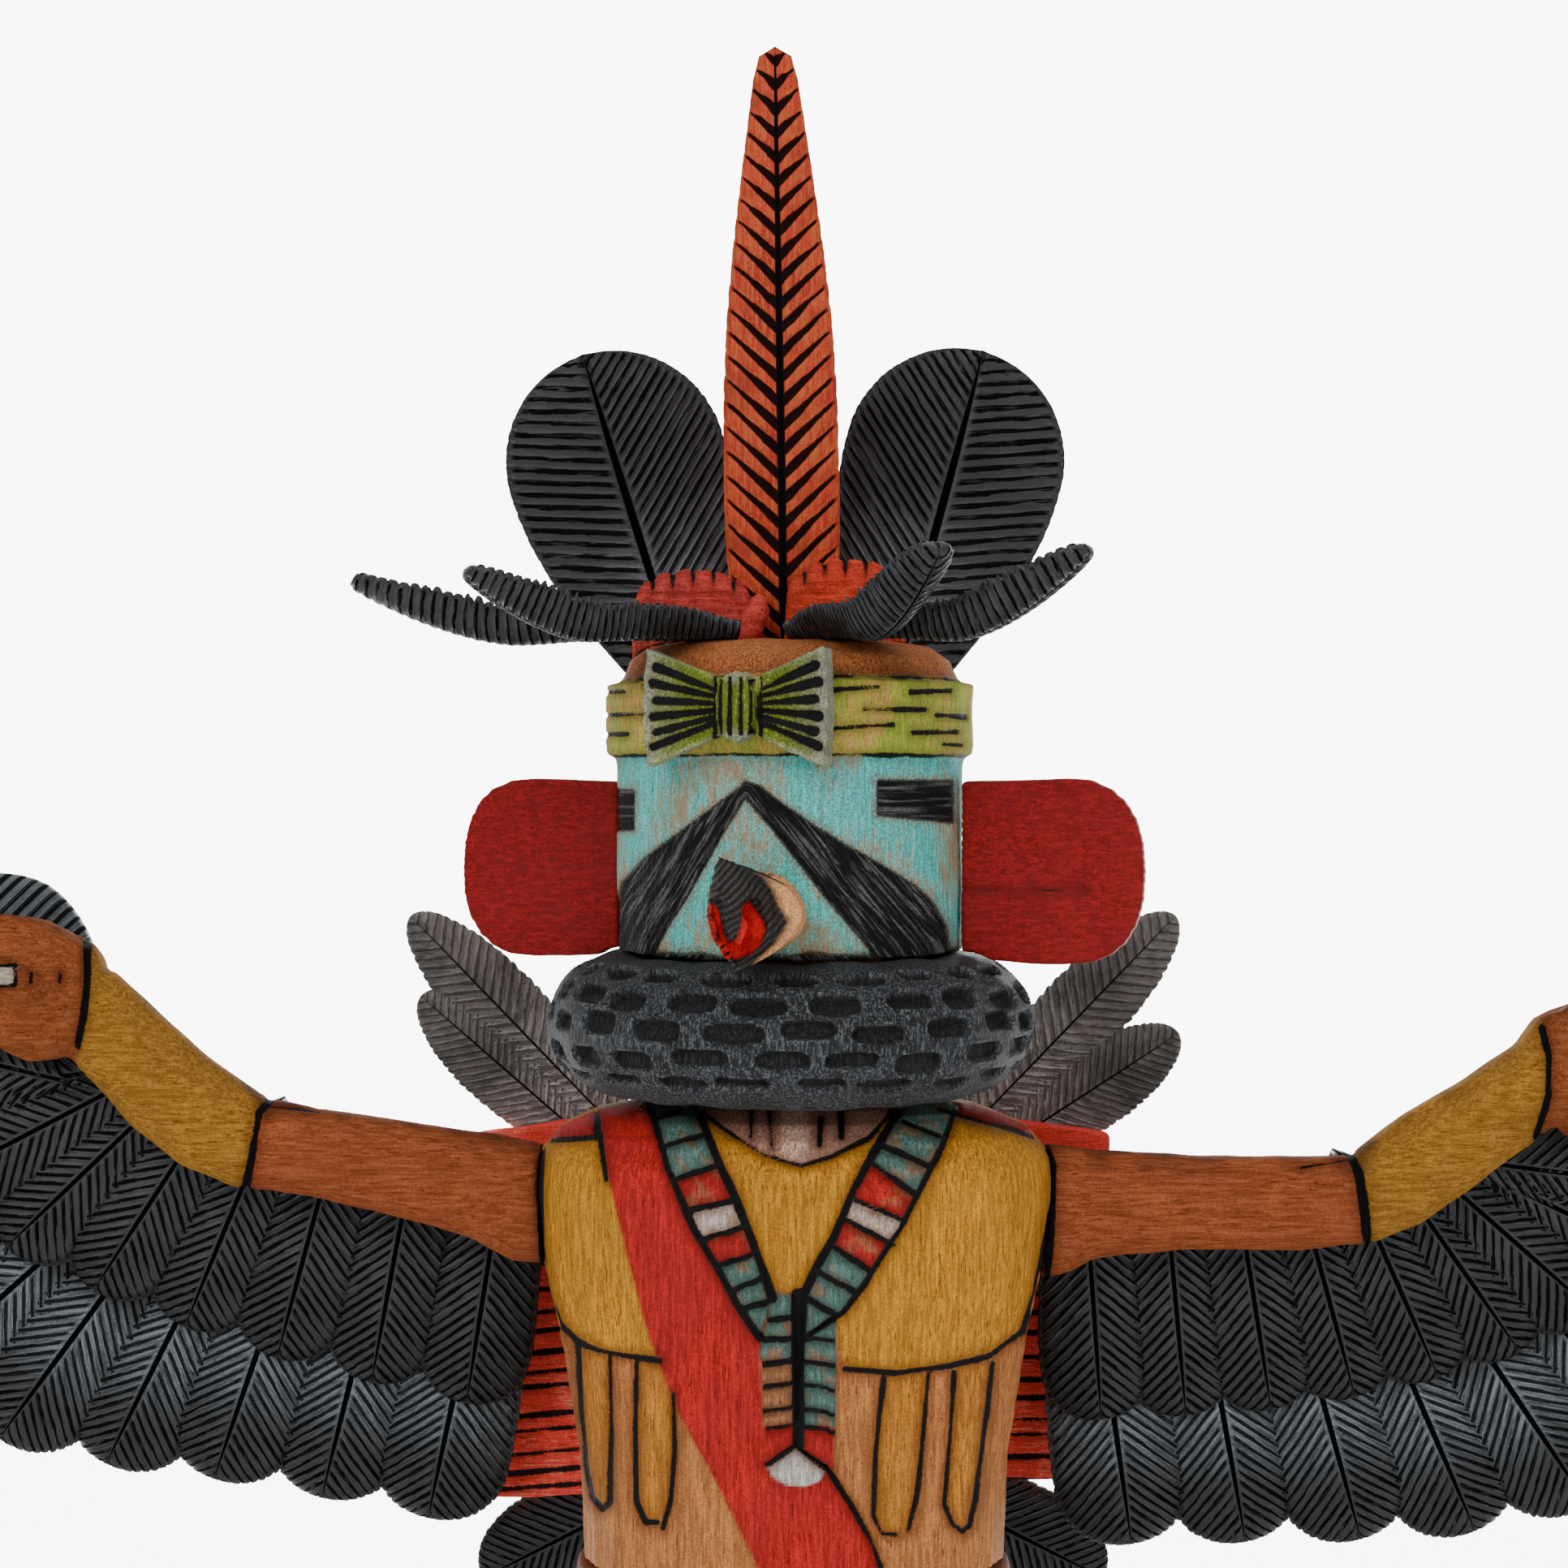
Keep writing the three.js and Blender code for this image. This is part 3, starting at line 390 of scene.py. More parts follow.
def carvedCopy(node, voxel, rounds=6, cut=None):
    # an evenly meshed, softly rounded copy of a solid, to carve the fine relief into
    bm = bmesh.new()
    bm.from_mesh(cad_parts[node].data)
    bmesh.ops.remove_doubles(bm, verts=bm.verts[:], dist=1e-6)
    if cut:
        level, keepAbove = cut
        bmesh.ops.bisect_plane(bm, geom=bm.verts[:] + bm.edges[:] + bm.faces[:], dist=1e-7,
                               plane_co=(0, 0, level * mm), plane_no=(0, 0, 1),
                               clear_outer=not keepAbove, clear_inner=keepAbove)
        bmesh.ops.holes_fill(bm, edges=[e for e in bm.edges if e.is_boundary], sides=0)
        bmesh.ops.recalc_face_normals(bm, faces=bm.faces[:])
    piece = newObject(node + "_rough", meshFrom(bm, node + "_rough"))
    even = piece.modifiers.new("even", "REMESH")
    even.mode = "VOXEL"
    even.voxel_size = voxel * mm * 1
    soft = piece.modifiers.new("soft", "SMOOTH")
    soft.factor = 0.5
    soft.iterations = rounds
    mesh = bpy.data.meshes.new_from_object(piece.evaluated_get(bpy.context.evaluated_depsgraph_get()))
    bpy.data.objects.remove(piece)
    return mesh


def curveThrough(places, count):
    # evenly spaced points on a smooth curve through the places
    p = np.array(places, float)
    p = np.vstack([2 * p[0] - p[1], p, 2 * p[-1] - p[-2]])
    dense = []
    for a, b, c, d in zip(p[:-3], p[1:-2], p[2:-1], p[3:]):
        t0 = 0
        t1 = t0 + np.linalg.norm(b - a) ** 0.5
        t2 = t1 + np.linalg.norm(c - b) ** 0.5
        t3 = t2 + np.linalg.norm(d - c) ** 0.5
        for t in np.linspace(t1, t2, 40, endpoint=False):
            ab = (t1 - t) / (t1 - t0) * a + (t - t0) / (t1 - t0) * b
            bc = (t2 - t) / (t2 - t1) * b + (t - t1) / (t2 - t1) * c
            cd = (t3 - t) / (t3 - t2) * c + (t - t2) / (t3 - t2) * d
            abc = (t2 - t) / (t2 - t0) * ab + (t - t0) / (t2 - t0) * bc
            bcd = (t3 - t) / (t3 - t1) * bc + (t - t1) / (t3 - t1) * cd
            dense.append((t2 - t) / (t2 - t1) * abc + (t - t1) / (t2 - t1) * bcd)
    dense = np.array(dense + [p[-2]])
    run = np.concatenate([[0], np.cumsum(np.linalg.norm(np.diff(dense, axis=0), axis=1))])
    even = np.linspace(0, run[-1], count)
    return np.stack([np.interp(even, run, dense[:, k]) for k in range(dense.shape[1])], axis=1)


# Feathers

def featherGrid(columns, rows):
    # a flat closed sheet: front at height 0, back at height -1
    bm = bmesh.new()
    bmesh.ops.create_grid(bm, x_segments=columns, y_segments=rows, size=1.0)
    made = bmesh.ops.extrude_face_region(bm, geom=bm.faces[:])
    moved = [v for v in made["geom"] if isinstance(v, bmesh.types.BMVert)]
    bmesh.ops.translate(bm, verts=moved, vec=(0, 0, -1))
    bmesh.ops.recalc_face_normals(bm, faces=bm.faces[:])
    return meshFrom(bm, "feather_grid")


gridStore = {}
rowsPerBarb = 4


def barbReach(base, slope, width, most):
    # how far out each barb runs from the midrib before it meets the outline
    low = np.zeros(base.shape)
    high = np.full(base.shape, most * 1.2)
    for _ in range(22):
        middle = (low + high) / 2
        inside = middle < width(base + slope * middle)
        low = np.where(inside, middle, low)
        high = np.where(inside, high, middle)
    return low


def feather(shape, place, seed=0):
    # shape: length, half width at the widest, rootShare, widest, power, barbs, slopes, columns,
    # crown, edge, groove, rib. place turns along, across and height into points of the doll.
    size = (shape["columns"], shape["barbs"] * rowsPerBarb)
    if size not in gridStore:
        gridStore[size] = featherGrid(*size)
    mesh = gridStore[size].copy()
    raw = rawPoints(mesh)
    chips = np.random.default_rng(seed).uniform(0, 1, 4096)
    length, half = shape["length"], shape["halfWidth"]
    v = np.sign(raw[:, 0]) * np.abs(raw[:, 0]) ** 1.3
    s = (raw[:, 1] + 1) / 2
    base = length * s
    number = s * shape["barbs"]
    fraction = number - np.floor(number + 1e-6)

    def width(along):
        t = np.clip(along / length, 0, 1)
        widest, root = shape["widest"], shape["rootShare"]
        rise = root + (1 - root) * np.sin(np.clip(t / widest, 0, 1) * math.pi / 2)
        fall = np.clip((t - widest) / (1 - widest), 0, 1)
        drop = (1 - fall ** shape["power"]) ** (1 / shape["power"])
        wide = np.where(t < widest, rise, drop)
        if "profile" in shape:
            wide = np.interp(t, *shape["profile"])
        return np.where(along > length, 0, half * wide)

    slope = np.where(v < 0, *shape["slopes"])
    reach = barbReach(base, slope, width, half)
    groove = np.clip(1 - np.abs(fraction - 0.5) / 0.26, 0, 1)
    away = np.abs(v)
    ragged = 1 - shape["ragged"] * (groove + chips[(number * 2).astype(int) % len(chips)])
    out = v * reach * np.where(away > 0.9, ragged, 1)
    along = base + slope * np.abs(out)
    fill = smoothStep(0.03, 0.12, away) * (1 - 0.6 * smoothStep(0.86, 1, away))
    cutDepth = shape["groove"] * groove * fill
    ribDepth = shape["rib"] * np.exp(-(out / shape["ribWidth"]) ** 2)
    body = shape["crown"] * (1 - away ** 2.2) * smoothStep(-0.05, 0.25, reach / half)
    rounding = 0.35 * smoothStep(0.8, 1, away)
    front = body + shape["edge"] - cutDepth - ribDepth - rounding
    back = -shape["backShare"] * (body - cutDepth - ribDepth - rounding)
    co = place(along, out, np.where(raw[:, 2] > -0.5, front, back))
    mesh.vertices.foreach_set("co", (co * mm).ravel())
    setBarbs(mesh, v, number)
    # each shape gives its own share of dust and painted highlight along and across the feather
    dustAndSheen = shape["dustAndSheen"](along / length, v) if "dustAndSheen" in shape else 0 * v
    setField(mesh, "dustAndSheen", dustAndSheen)
    return mesh


def fadingDustAndSheen(most, full, none):
    # drybrushed dust and a painted highlight, thinning out along a feather
    return lambda t, w: most * smoothStep(none, full, t)


def joinMeshes(name, meshes):
    bm = bmesh.new()
    for mesh in meshes:
        bm.from_mesh(mesh)
        bpy.data.meshes.remove(mesh)
    bmesh.ops.recalc_face_normals(bm, faces=bm.faces[:])
    return meshFrom(bm, name)


def flatPlace(root, lean, front, shift=None):
    # a feather that faces -Y, its root at X and Z, leaning from straight down
    def place(along, out, height):
        x = root[0] + along * math.sin(lean) + out * math.cos(lean)
        z = root[1] - along * math.cos(lean) + out * math.sin(lean)
        y = front - height + 0 * along
        if shift is not None:
            y = y + shift(x, z)
        return np.stack([x, y, z], axis=1)
    return place


# Camera, floor and light

def makeStage():
    data = bpy.data.cameras.new("camera")
    data.lens = eye["lens"]
    data.sensor_width = 36
    data.clip_start = 0.01
    camera = newObject("camera", data)
    camera.location = (eye["x"] * mm, eye["y"] * mm, eye["z"] * mm)
    camera.rotation_euler = (math.pi / 2, 0, 0)
    bpy.context.scene.camera = camera

    floor = {"front": -4.0, "back": 2.6, "round": 1.2, "high": 5.0, "half": 6.0,
             "glow": 7.0, "dim": 0.35}
    bm = bmesh.new()
    bmesh.ops.create_grid(bm, x_segments=2, y_segments=60, size=1.0)
    straight = floor["back"] - floor["front"]
    arc = floor["round"] * math.pi / 2
    whole = straight + arc + floor["high"] - floor["round"]
    for v in bm.verts:
        run = (v.co.y + 1) / 2 * whole
        turn = min(max((run - straight) / floor["round"], 0), math.pi / 2)
        past = max(run - straight - arc, 0)
        y = floor["front"] + min(run, straight) + floor["round"] * math.sin(turn)
        v.co = (v.co.x * floor["half"], y, floor["round"] * (1 - math.cos(turn)) + past)
    mesh = meshFrom(bm, "floor")
    mesh.polygons.foreach_set("use_smooth", [True] * len(mesh.polygons))
    material, tree, shader = newMaterial("pale_floor", 0.9, 0.1)
    shader.inputs["Base Color"].default_value = (0.8, 0.8, 0.8, 1)
    shader.inputs["Emission Color"].default_value = (1.0, 1.0, 1.0, 1)
    # the backdrop glows, as a painted pool of light: far brighter in its middle than on the floor around and
    # before it
    split = make(tree, "SeparateXYZ", {0: make(tree, "TexCoord").outputs["Object"]})
    sideways = fade(tree, calc(tree, "ABSOLUTE", split.outputs[0]), 1.2, 2.4, 1.0, 0.0)
    beyond = fade(tree, split.outputs[1], 0.1, 0.5)
    upward = fade(tree, split.outputs[2], 1.5, 2.6, 1.0, 0.0)
    lit = calc(tree, "MULTIPLY", calc(tree, "MULTIPLY", sideways, beyond), upward)
    glow = calc(tree, "MULTIPLY_ADD", lit, floor["glow"], floor["dim"])
    tree.links.new(glow, shader.inputs["Emission Strength"])
    mesh.materials.append(material)
    newObject("floor", mesh)

    world = bpy.data.worlds.new("studio")
    world.use_nodes = True
    sky = world.node_tree.nodes["Background"]
    sky.inputs[0].default_value = (1, 1, 1, 1)
    sky.inputs[1].default_value = 0.3
    bpy.context.scene.world = world
    lamps = [
        ("top", (0.0, 0.0, 1.35), (0, 0, 0.25), 1.0, 8),
        ("left", (-0.55, -1.1, 1.0), (0, 0, 0.25), 0.8, 13),
        ("right", (0.9, -1.1, 0.6), (0, 0, 0.25), 0.8, 6),
    ]
    for name, place, aim, size, power in lamps:
        lamp = bpy.data.lights.new(name, "AREA")
        lamp.size = size
        lamp.energy = power
        holder = newObject(name, lamp)
        holder.location = place
        holder.rotation_euler = (Vector(aim) - Vector(place)).to_track_quat("-Z", "Y").to_euler()
    print("stage set")


# Levels shared by the pieces, from the foot up

level = {"waist": 152.3, "collar": 218.7, "ruff": 219.0, "mask": 240.9, "band": 268.9,
         "bandTop": 280.2, "dome": 286.2}
shoulder = 38.3
headTurn = math.radians(-14)
headMiddle = -0.6


# Crest

crest = {"length": 94.6, "aside": -1.4, "behind": 3.3, "buried": 5.0, "halfWidth": 8.7, "rootShare": 0.42,
         "widest": 0.34, "power": 1.45, "barbs": 26, "slopes": (0.95, 0.95), "columns": 16,
         "crown": 0.75, "edge": 0.65, "groove": 0.34, "rib": 0.35, "ribWidth": 0.55, "backShare": 1.0,
         "ragged": 0.012,
         "profile": ((0, 0.053, 0.111, 0.142, 0.167, 0.2, 0.3, 0.432, 0.564, 0.687, 0.82, 0.948, 0.986, 1),
                     (0.34, 0.4, 0.6, 0.83, 0.93, 0.98, 1.0, 0.99, 0.92, 0.78, 0.59, 0.39, 0.28, 0.0))}


def makeCrest():
    lean = math.atan2(crest["aside"], 90)

    def place(along, out, height):
        x = crest["aside"] + (along - crest["buried"]) * math.sin(lean) + out * math.cos(lean)
        z = level["dome"] - 0.9 - crest["buried"] + along * math.cos(lean) - out * math.sin(lean)
        return np.stack([x, crest["behind"] - height, z], axis=1)

    look = {"colour": (176, 48, 26), "second": (150, 30, 20), "grain": (186, 92, 46), "stroke": (0.5, 0.12),
            "strokeEnd": 0.97, "rib": 0.055, "dustAndSheenColour": (190, 120, 80), "dustAll": 0.05, "barbDark": 0.98,
            "lineColour": (9, 9, 11), "rough": (0.5, 0.75), "lineDepth": 0.3, "specular": 0.18,
            "wander": 0.3, "sooty": 0.5, "faint": 1.0}
    paint = featherPaint("crest_paint", look)
    mesh = joinMeshes("crest", [feather(crest, place, 3)])
    addPiece("crest_feather_carved", mesh, ["crest_feather"], [paint])


# Round feathers behind the head

roundFeather = {"length": 54.4, "halfWidth": 17.3, "rootShare": 0.36, "widest": 0.66, "power": 2.0,
                "barbs": 27, "columns": 28, "crown": 0.7, "edge": 0.6, "groove": 0.5, "rib": 0.7,
                "ribWidth": 0.5, "backShare": 1.0, "ragged": 0.006, "leanLeft": -17.2, "leanRight": 15.0,
                "aside": 16.4, "behind": 19.2, "cup": 1.6, "settle": 0.6}


def makeRoundFeathers(paint):
    for word, side in sides:
        lean = math.radians(roundFeather["lean" + word.capitalize()])
        root = np.array([side * roundFeather["aside"] + headMiddle, roundFeather["behind"],
                         level["bandTop"] + roundFeather["settle"]])
        up = np.array([math.sin(lean), 0.1, math.cos(lean)])
        up /= np.linalg.norm(up)
        across = np.array([math.cos(lean), 0, -math.sin(lean)])
        face = np.array([0, -1, 0.1]) / math.hypot(1, 0.1)

        def place(along, out, height):
            cup = roundFeather["cup"] * (out / roundFeather["halfWidth"]) ** 2 * smoothStep(0, 20, along)
            lift = height - roundFeather["settle"] + cup
            return root + along[:, None] * up + out[:, None] * across + lift[:, None] * face

        shape = dict(roundFeather)
        shape["slopes"] = (0.34, 0.95) if side < 0 else (0.95, 0.34)
        # dust with a painted highlight near the root, off to one side of the midrib
        shape["dustAndSheen"] = lambda t, w: 1.1 * smoothStep(0.6, 0.2, t) * np.exp(-((w + side * 0.3) / 0.6) ** 2)
        name = "round_feather_" + word
        mesh = joinMeshes("round_" + word, [feather(shape, place, 7 + side)])
        addPiece(name + "_carved", mesh, [name], [paint])


# Side feathers, curling up at their ends

sideFeather = {"reachLeft": 60.0, "reachRight": 52.5, "rootLeft": 8.0, "rootRight": 2.2, "shortShare": 0.84,
               "halfWidth": 5.0, "rootShare": 0.62, "widest": 0.66, "power": 3.4, "barbs": 36,
               "slopes": (0.45, 0.45), "columns": 20, "crown": 1.0, "edge": 1.0, "groove": 0.4, "rib": 0.3,
               "ribWidth": 0.4, "backShare": 1.0, "ragged": 0.14, "curlLeft": 8.0, "curlRight": 10.6,
               "curlFrom": 0.56, "cup": 4.2, "settle": 1.5, "angles": (30, 52), "start": 2.2,
               "dustAndSheen": fadingDustAndSheen(0.5, 0.0, 0.3)}


def makeSideFeathers(paint):
    for word, side in sides:
        cap = word.capitalize()
        skipped = sideFeather["root" + cap] - sideFeather["start"]
        long = sideFeather["reach" + cap]
        meshes = []
        reaches = (long, long * sideFeather["shortShare"])
        for k, (forward, reach) in enumerate(zip(sideFeather["angles"], reaches)):
            length = reach - skipped
            angle = (math.pi if side < 0 else 0) - side * math.radians(forward) + headTurn
            ahead = np.array([math.cos(angle), math.sin(angle), 0])
            across = np.array([-math.sin(angle), math.cos(angle), 0])
            root = np.array([side * sideFeather["start"] + headMiddle - 1, -8.6, level["dome"] + 1.7])
            root = root + skipped * ahead

            def place(along, out, height):
                t = np.clip(along / length, 0, 1)
                start, most = sideFeather["curlFrom"], sideFeather["curl" + cap]
                past = np.clip((t - start) / (1 - start), 0, 1)
                slope = most * 1.7 * past ** 0.7 / ((1 - start) * length)
                droop = -1.0 * smoothStep(0.3, 0.6, t)
                cup = sideFeather["cup"] * (out / sideFeather["halfWidth"]) ** 2
                cup = cup * (0.55 + 0.45 * smoothStep(0, 0.2, t)) * (1 - 0.5 * smoothStep(0.72, 1, t))
                lift = height - sideFeather["settle"] + cup
                shrink = 1 / np.sqrt(1 + slope ** 2)
                flat = root + along[:, None] * ahead + out[:, None] * across
                flat[:, 2] += most * past ** 1.7 + droop + lift * shrink
                return flat - (lift * slope * shrink)[:, None] * ahead

            meshes.append(feather(dict(sideFeather, length=length * 0.985), place, 20 + k + side))
        addPiece("side_feathers_" + word + "_carved", joinMeshes("side_" + word, meshes),
                 ["side_feathers_" + word], [paint])


# Wings

wing = {"reach": 110.0, "thickness": 6.6, "ridge": 1.5, "bend": 6.0, "front": 7.0, "stagger": 0.35,
        "barbStep": 1.75, "edgeRound": 1.6,
        "leftLower": [(0.156, -0.594), (0.458, -0.536), (0.729, -0.483), (0.906, -0.36), (0.997, -0.135)],
        "leftUpper": [(0.1, -0.43), (0.315, -0.38), (0.556, -0.294), (0.78, -0.17), (0.97, 0.1)],
        "leftEdge": [(0.6, 0.12), (0.617, 0.214), (0.675, 0.285), (0.77, 0.3), (0.87, 0.27), (0.95, 0.19),
                     (0.96, 0.06), (0.8, 0.01)],
        "rightLower": [(0.118, -0.63), (0.445, -0.62), (0.706, -0.583), (0.906, -0.46), (1.01, -0.21)],
        "rightUpper": [(0.073, -0.452), (0.288, -0.44), (0.497, -0.402), (0.75, -0.3), (0.975, -0.04)],
        "rightEdge": [(0.64, 0.02), (0.664, 0.09), (0.704, 0.116), (0.78, 0.12), (0.88, 0.08), (0.96, 0),
                      (0.97, -0.1), (0.8, -0.13)]}
wingFeather = {"rootShare": 0.62, "widest": 0.78, "power": 2.2, "slopes": (0.95, 0.95), "columns": 14,
               "crown": 2.0, "edge": 1.4, "groove": 0.5, "rib": 0.6, "ribWidth": 0.35, "backShare": 0.55,
               "ragged": 0.02}


def bendForward(x, z):
    return -wing["bend"] * np.clip((np.abs(x) - shoulder) / wing["reach"], 0, 2) ** 2


def wingLine(side, route, count):
    return curveThrough([(side * (shoulder + out * wing["reach"]), level["collar"] + up * wing["reach"])
                         for out, up in route], count)


def wingRow(side, count, tips, leans, lengths, feathers, front, seed):
    line = wingLine(side, tips, count)
    meshes = []
    for i, tip in enumerate(line):
        share = i / (count - 1)
        lean = side * math.radians(leans[0] + (leans[1] - leans[0]) * share ** leans[2])
        length = wing["reach"] * (lengths[0] + (lengths[1] - lengths[0]) * share)
        root = (tip[0] - math.sin(lean) * length, tip[1] + math.cos(lean) * length)
        shape = dict(wingFeather, length=length, barbs=round(length / wing["barbStep"]), **feathers)
        place = flatPlace(root, lean, front + (i % 2) * wing["stagger"], bendForward)
        meshes.append(feather(shape, place, seed + i))
    return meshes


def wingEdge(side, route, front, thickness):
    line = wingLine(side, route, 40)
    bm = bmesh.new()
    face = bm.faces.new([bm.verts.new((x, front, z)) for x, z in line])
    made = bmesh.ops.extrude_face_region(bm, geom=[face])
    moved = [v for v in made["geom"] if isinstance(v, bmesh.types.BMVert)]
    bmesh.ops.translate(bm, verts=moved, vec=(0, thickness, 0))
    rim = [e for e in bm.edges if len(e.link_faces) == 2 and max(len(f.verts) for f in e.link_faces) > 8]
    bmesh.ops.bevel(bm, geom=rim, offset=wing["edgeRound"], segments=4, profile=0.5, affect="EDGES",
                    material=-1)
    bmesh.ops.recalc_face_normals(bm, faces=bm.faces[:])
    mesh = meshFrom(bm, "wing_edge")
    co = rawPoints(mesh)
    co[:, 1] += bendForward(co[:, 0], co[:, 2])
    setPoints(mesh, co)
    half = np.full(len(co), 0.5)
    setBarbs(mesh, half, (co[:, 0] * side + co[:, 2]) * 0.42)
    setField(mesh, "dustAndSheen", half)
    return mesh


def lowerDustAndSheen(t, w):
    # the lower row is greyest across the middle of each feather: drybrushed dust and a painted highlight on
    # its rounded crown
    return 1.1 * smoothStep(0.4, 0.52, t) * smoothStep(0.84, 0.6, t) * (0.45 + 0.55 * (1 - w * w))


def makeWings(paint):
    front = wing["front"] + wing["ridge"]
    for word, side in sides:
        lower = wingRow(side, 8, wing[word + "Lower"], (12 if side < 0 else 8, 78, 1.8), (0.41, 0.46),
                        {"halfWidth": 10.5, "dustAndSheen": lowerDustAndSheen, "edge": 1.1},
                        front + wing["thickness"] * 0.4 + 1.1, 40)
        upper = wingRow(side, 9 if side < 0 else 10, wing[word + "Upper"], (9 if side < 0 else 4, 104, 2),
                        (0.34, 0.34), {"halfWidth": 8.5, "dustAndSheen": fadingDustAndSheen(0.16, 0.4, 0.8), "edge": 2.6},
                        front + 2.6, 60)
        edge = wingEdge(side, wing[word + "Edge"], wing["front"] + 1.2, wing["thickness"] * 0.6)
        addPiece("wing_" + word + "_carved", joinMeshes("wing_" + word, [edge] + lower + upper),
                 ["wing_" + word], [paint])


# Cape and tail feathers

cape = {"length": 51.6, "halfWidth": 6.7, "rootShare": 0.5, "widest": 0.6, "power": 2.0, "barbs": 28,
        "slopes": (0.8, 0.8), "columns": 12, "crown": 0.6, "edge": 1.1, "groove": 0.3, "rib": 0.3,
        "ribWidth": 0.35, "backShare": 0.8, "ragged": 0.03, "front": 26.8,
        "dustAndSheen": fadingDustAndSheen(1.0, 0.2, 0.72),
        "leftPair": ((24.4, 11.4, 136, 1.0), (27.5, 14.0, 131, 0.8)),
        "rightPair": ((24.4, 11.4, 136, 1.0), (27.0, 14.7, 123, 0.78))}
tail = {"length": 52.0, "halfWidth": 8.5, "rootShare": 0.4, "widest": 0.72, "power": 2.0, "barbs": 28,
        "slopes": (0.9, 0.9), "columns": 12, "crown": 0.9, "edge": 1.5, "groove": 0.3, "rib": 0.5,
        "ribWidth": 0.4, "backShare": 0.8, "ragged": 0.02, "front": 25.2, "tilt": 8.0, "count": 7,
        "spread": 62.0, "stagger": 0.35, "dustAndSheen": fadingDustAndSheen(0.25, 0.4, 1.0)}


def makeCapeFeathers():
    look = {"colour": (86, 81, 77), "second": (54, 50, 47), "stroke": (0.3, 0.16), "rib": 0.02,
            "dustAndSheenColour": (178, 176, 174), "dustAll": 0.2, "barbDark": 0.6, "rough": (0.5, 0.75),
            "lineColour": (22, 21, 21), "wander": 0.9, "faint": 0.1, "lineDepth": 0.2, "specular": 0.3}
    paint = featherPaint("cape_paint", look)
    for word, side in sides:
        meshes = []
        # each feather: how far out and down its root is, its lean, its share of the length
        for k, (x, drop, lean, share) in enumerate(cape[word + "Pair"]):
            shape = dict(cape, length=cape["length"] * share)
            place = flatPlace((side * x, level["collar"] - drop), side * math.radians(lean), cape["front"])
            meshes.append(feather(shape, place, 90 + k))
        addPiece("cape_feathers_" + word + "_carved", joinMeshes("cape_" + word, meshes),
                 ["cape_feathers_" + word], [paint])


def makeTail(paint):
    rootLevel = level["waist"] + 8
    tilt = math.radians(tail["tilt"])
    meshes = []
    for i in range(tail["count"]):
        share = i / (tail["count"] - 1) * 2 - 1
        shape = dict(tail, length=tail["length"] * (1 - 0.12 * abs(share)))
        flat = flatPlace((share * 9, rootLevel), share * math.radians(tail["spread"]),
                         tail["front"] + 2.4 + (i % 2) * tail["stagger"])

        def place(along, out, height):
            co = flat(along, out, height)
            y, z = co[:, 1] - tail["front"], co[:, 2] - rootLevel
            co[:, 1] = tail["front"] + y * math.cos(tilt) - z * math.sin(tilt)
            co[:, 2] = rootLevel + y * math.sin(tilt) + z * math.cos(tilt)
            return co

        meshes.append(feather(shape, place, 110 + i))
    addPiece("tail_fan_carved", joinMeshes("tail", meshes), ["tail_fan"], [paint])


# Ruff, with rows of gouged pits

ruff = {"radius": 35.4, "tube": 10.8, "around": 600, "section": 150, "pits": 21, "pitHalfWidth": 4.1,
        "pitHalfHeight": 1.7, "pitDepth": 1.7, "flatter": 0.93, "wider": 1.02, "aside": -0.4,
        "rows": (57, 32, 9.5, -15, -37)}


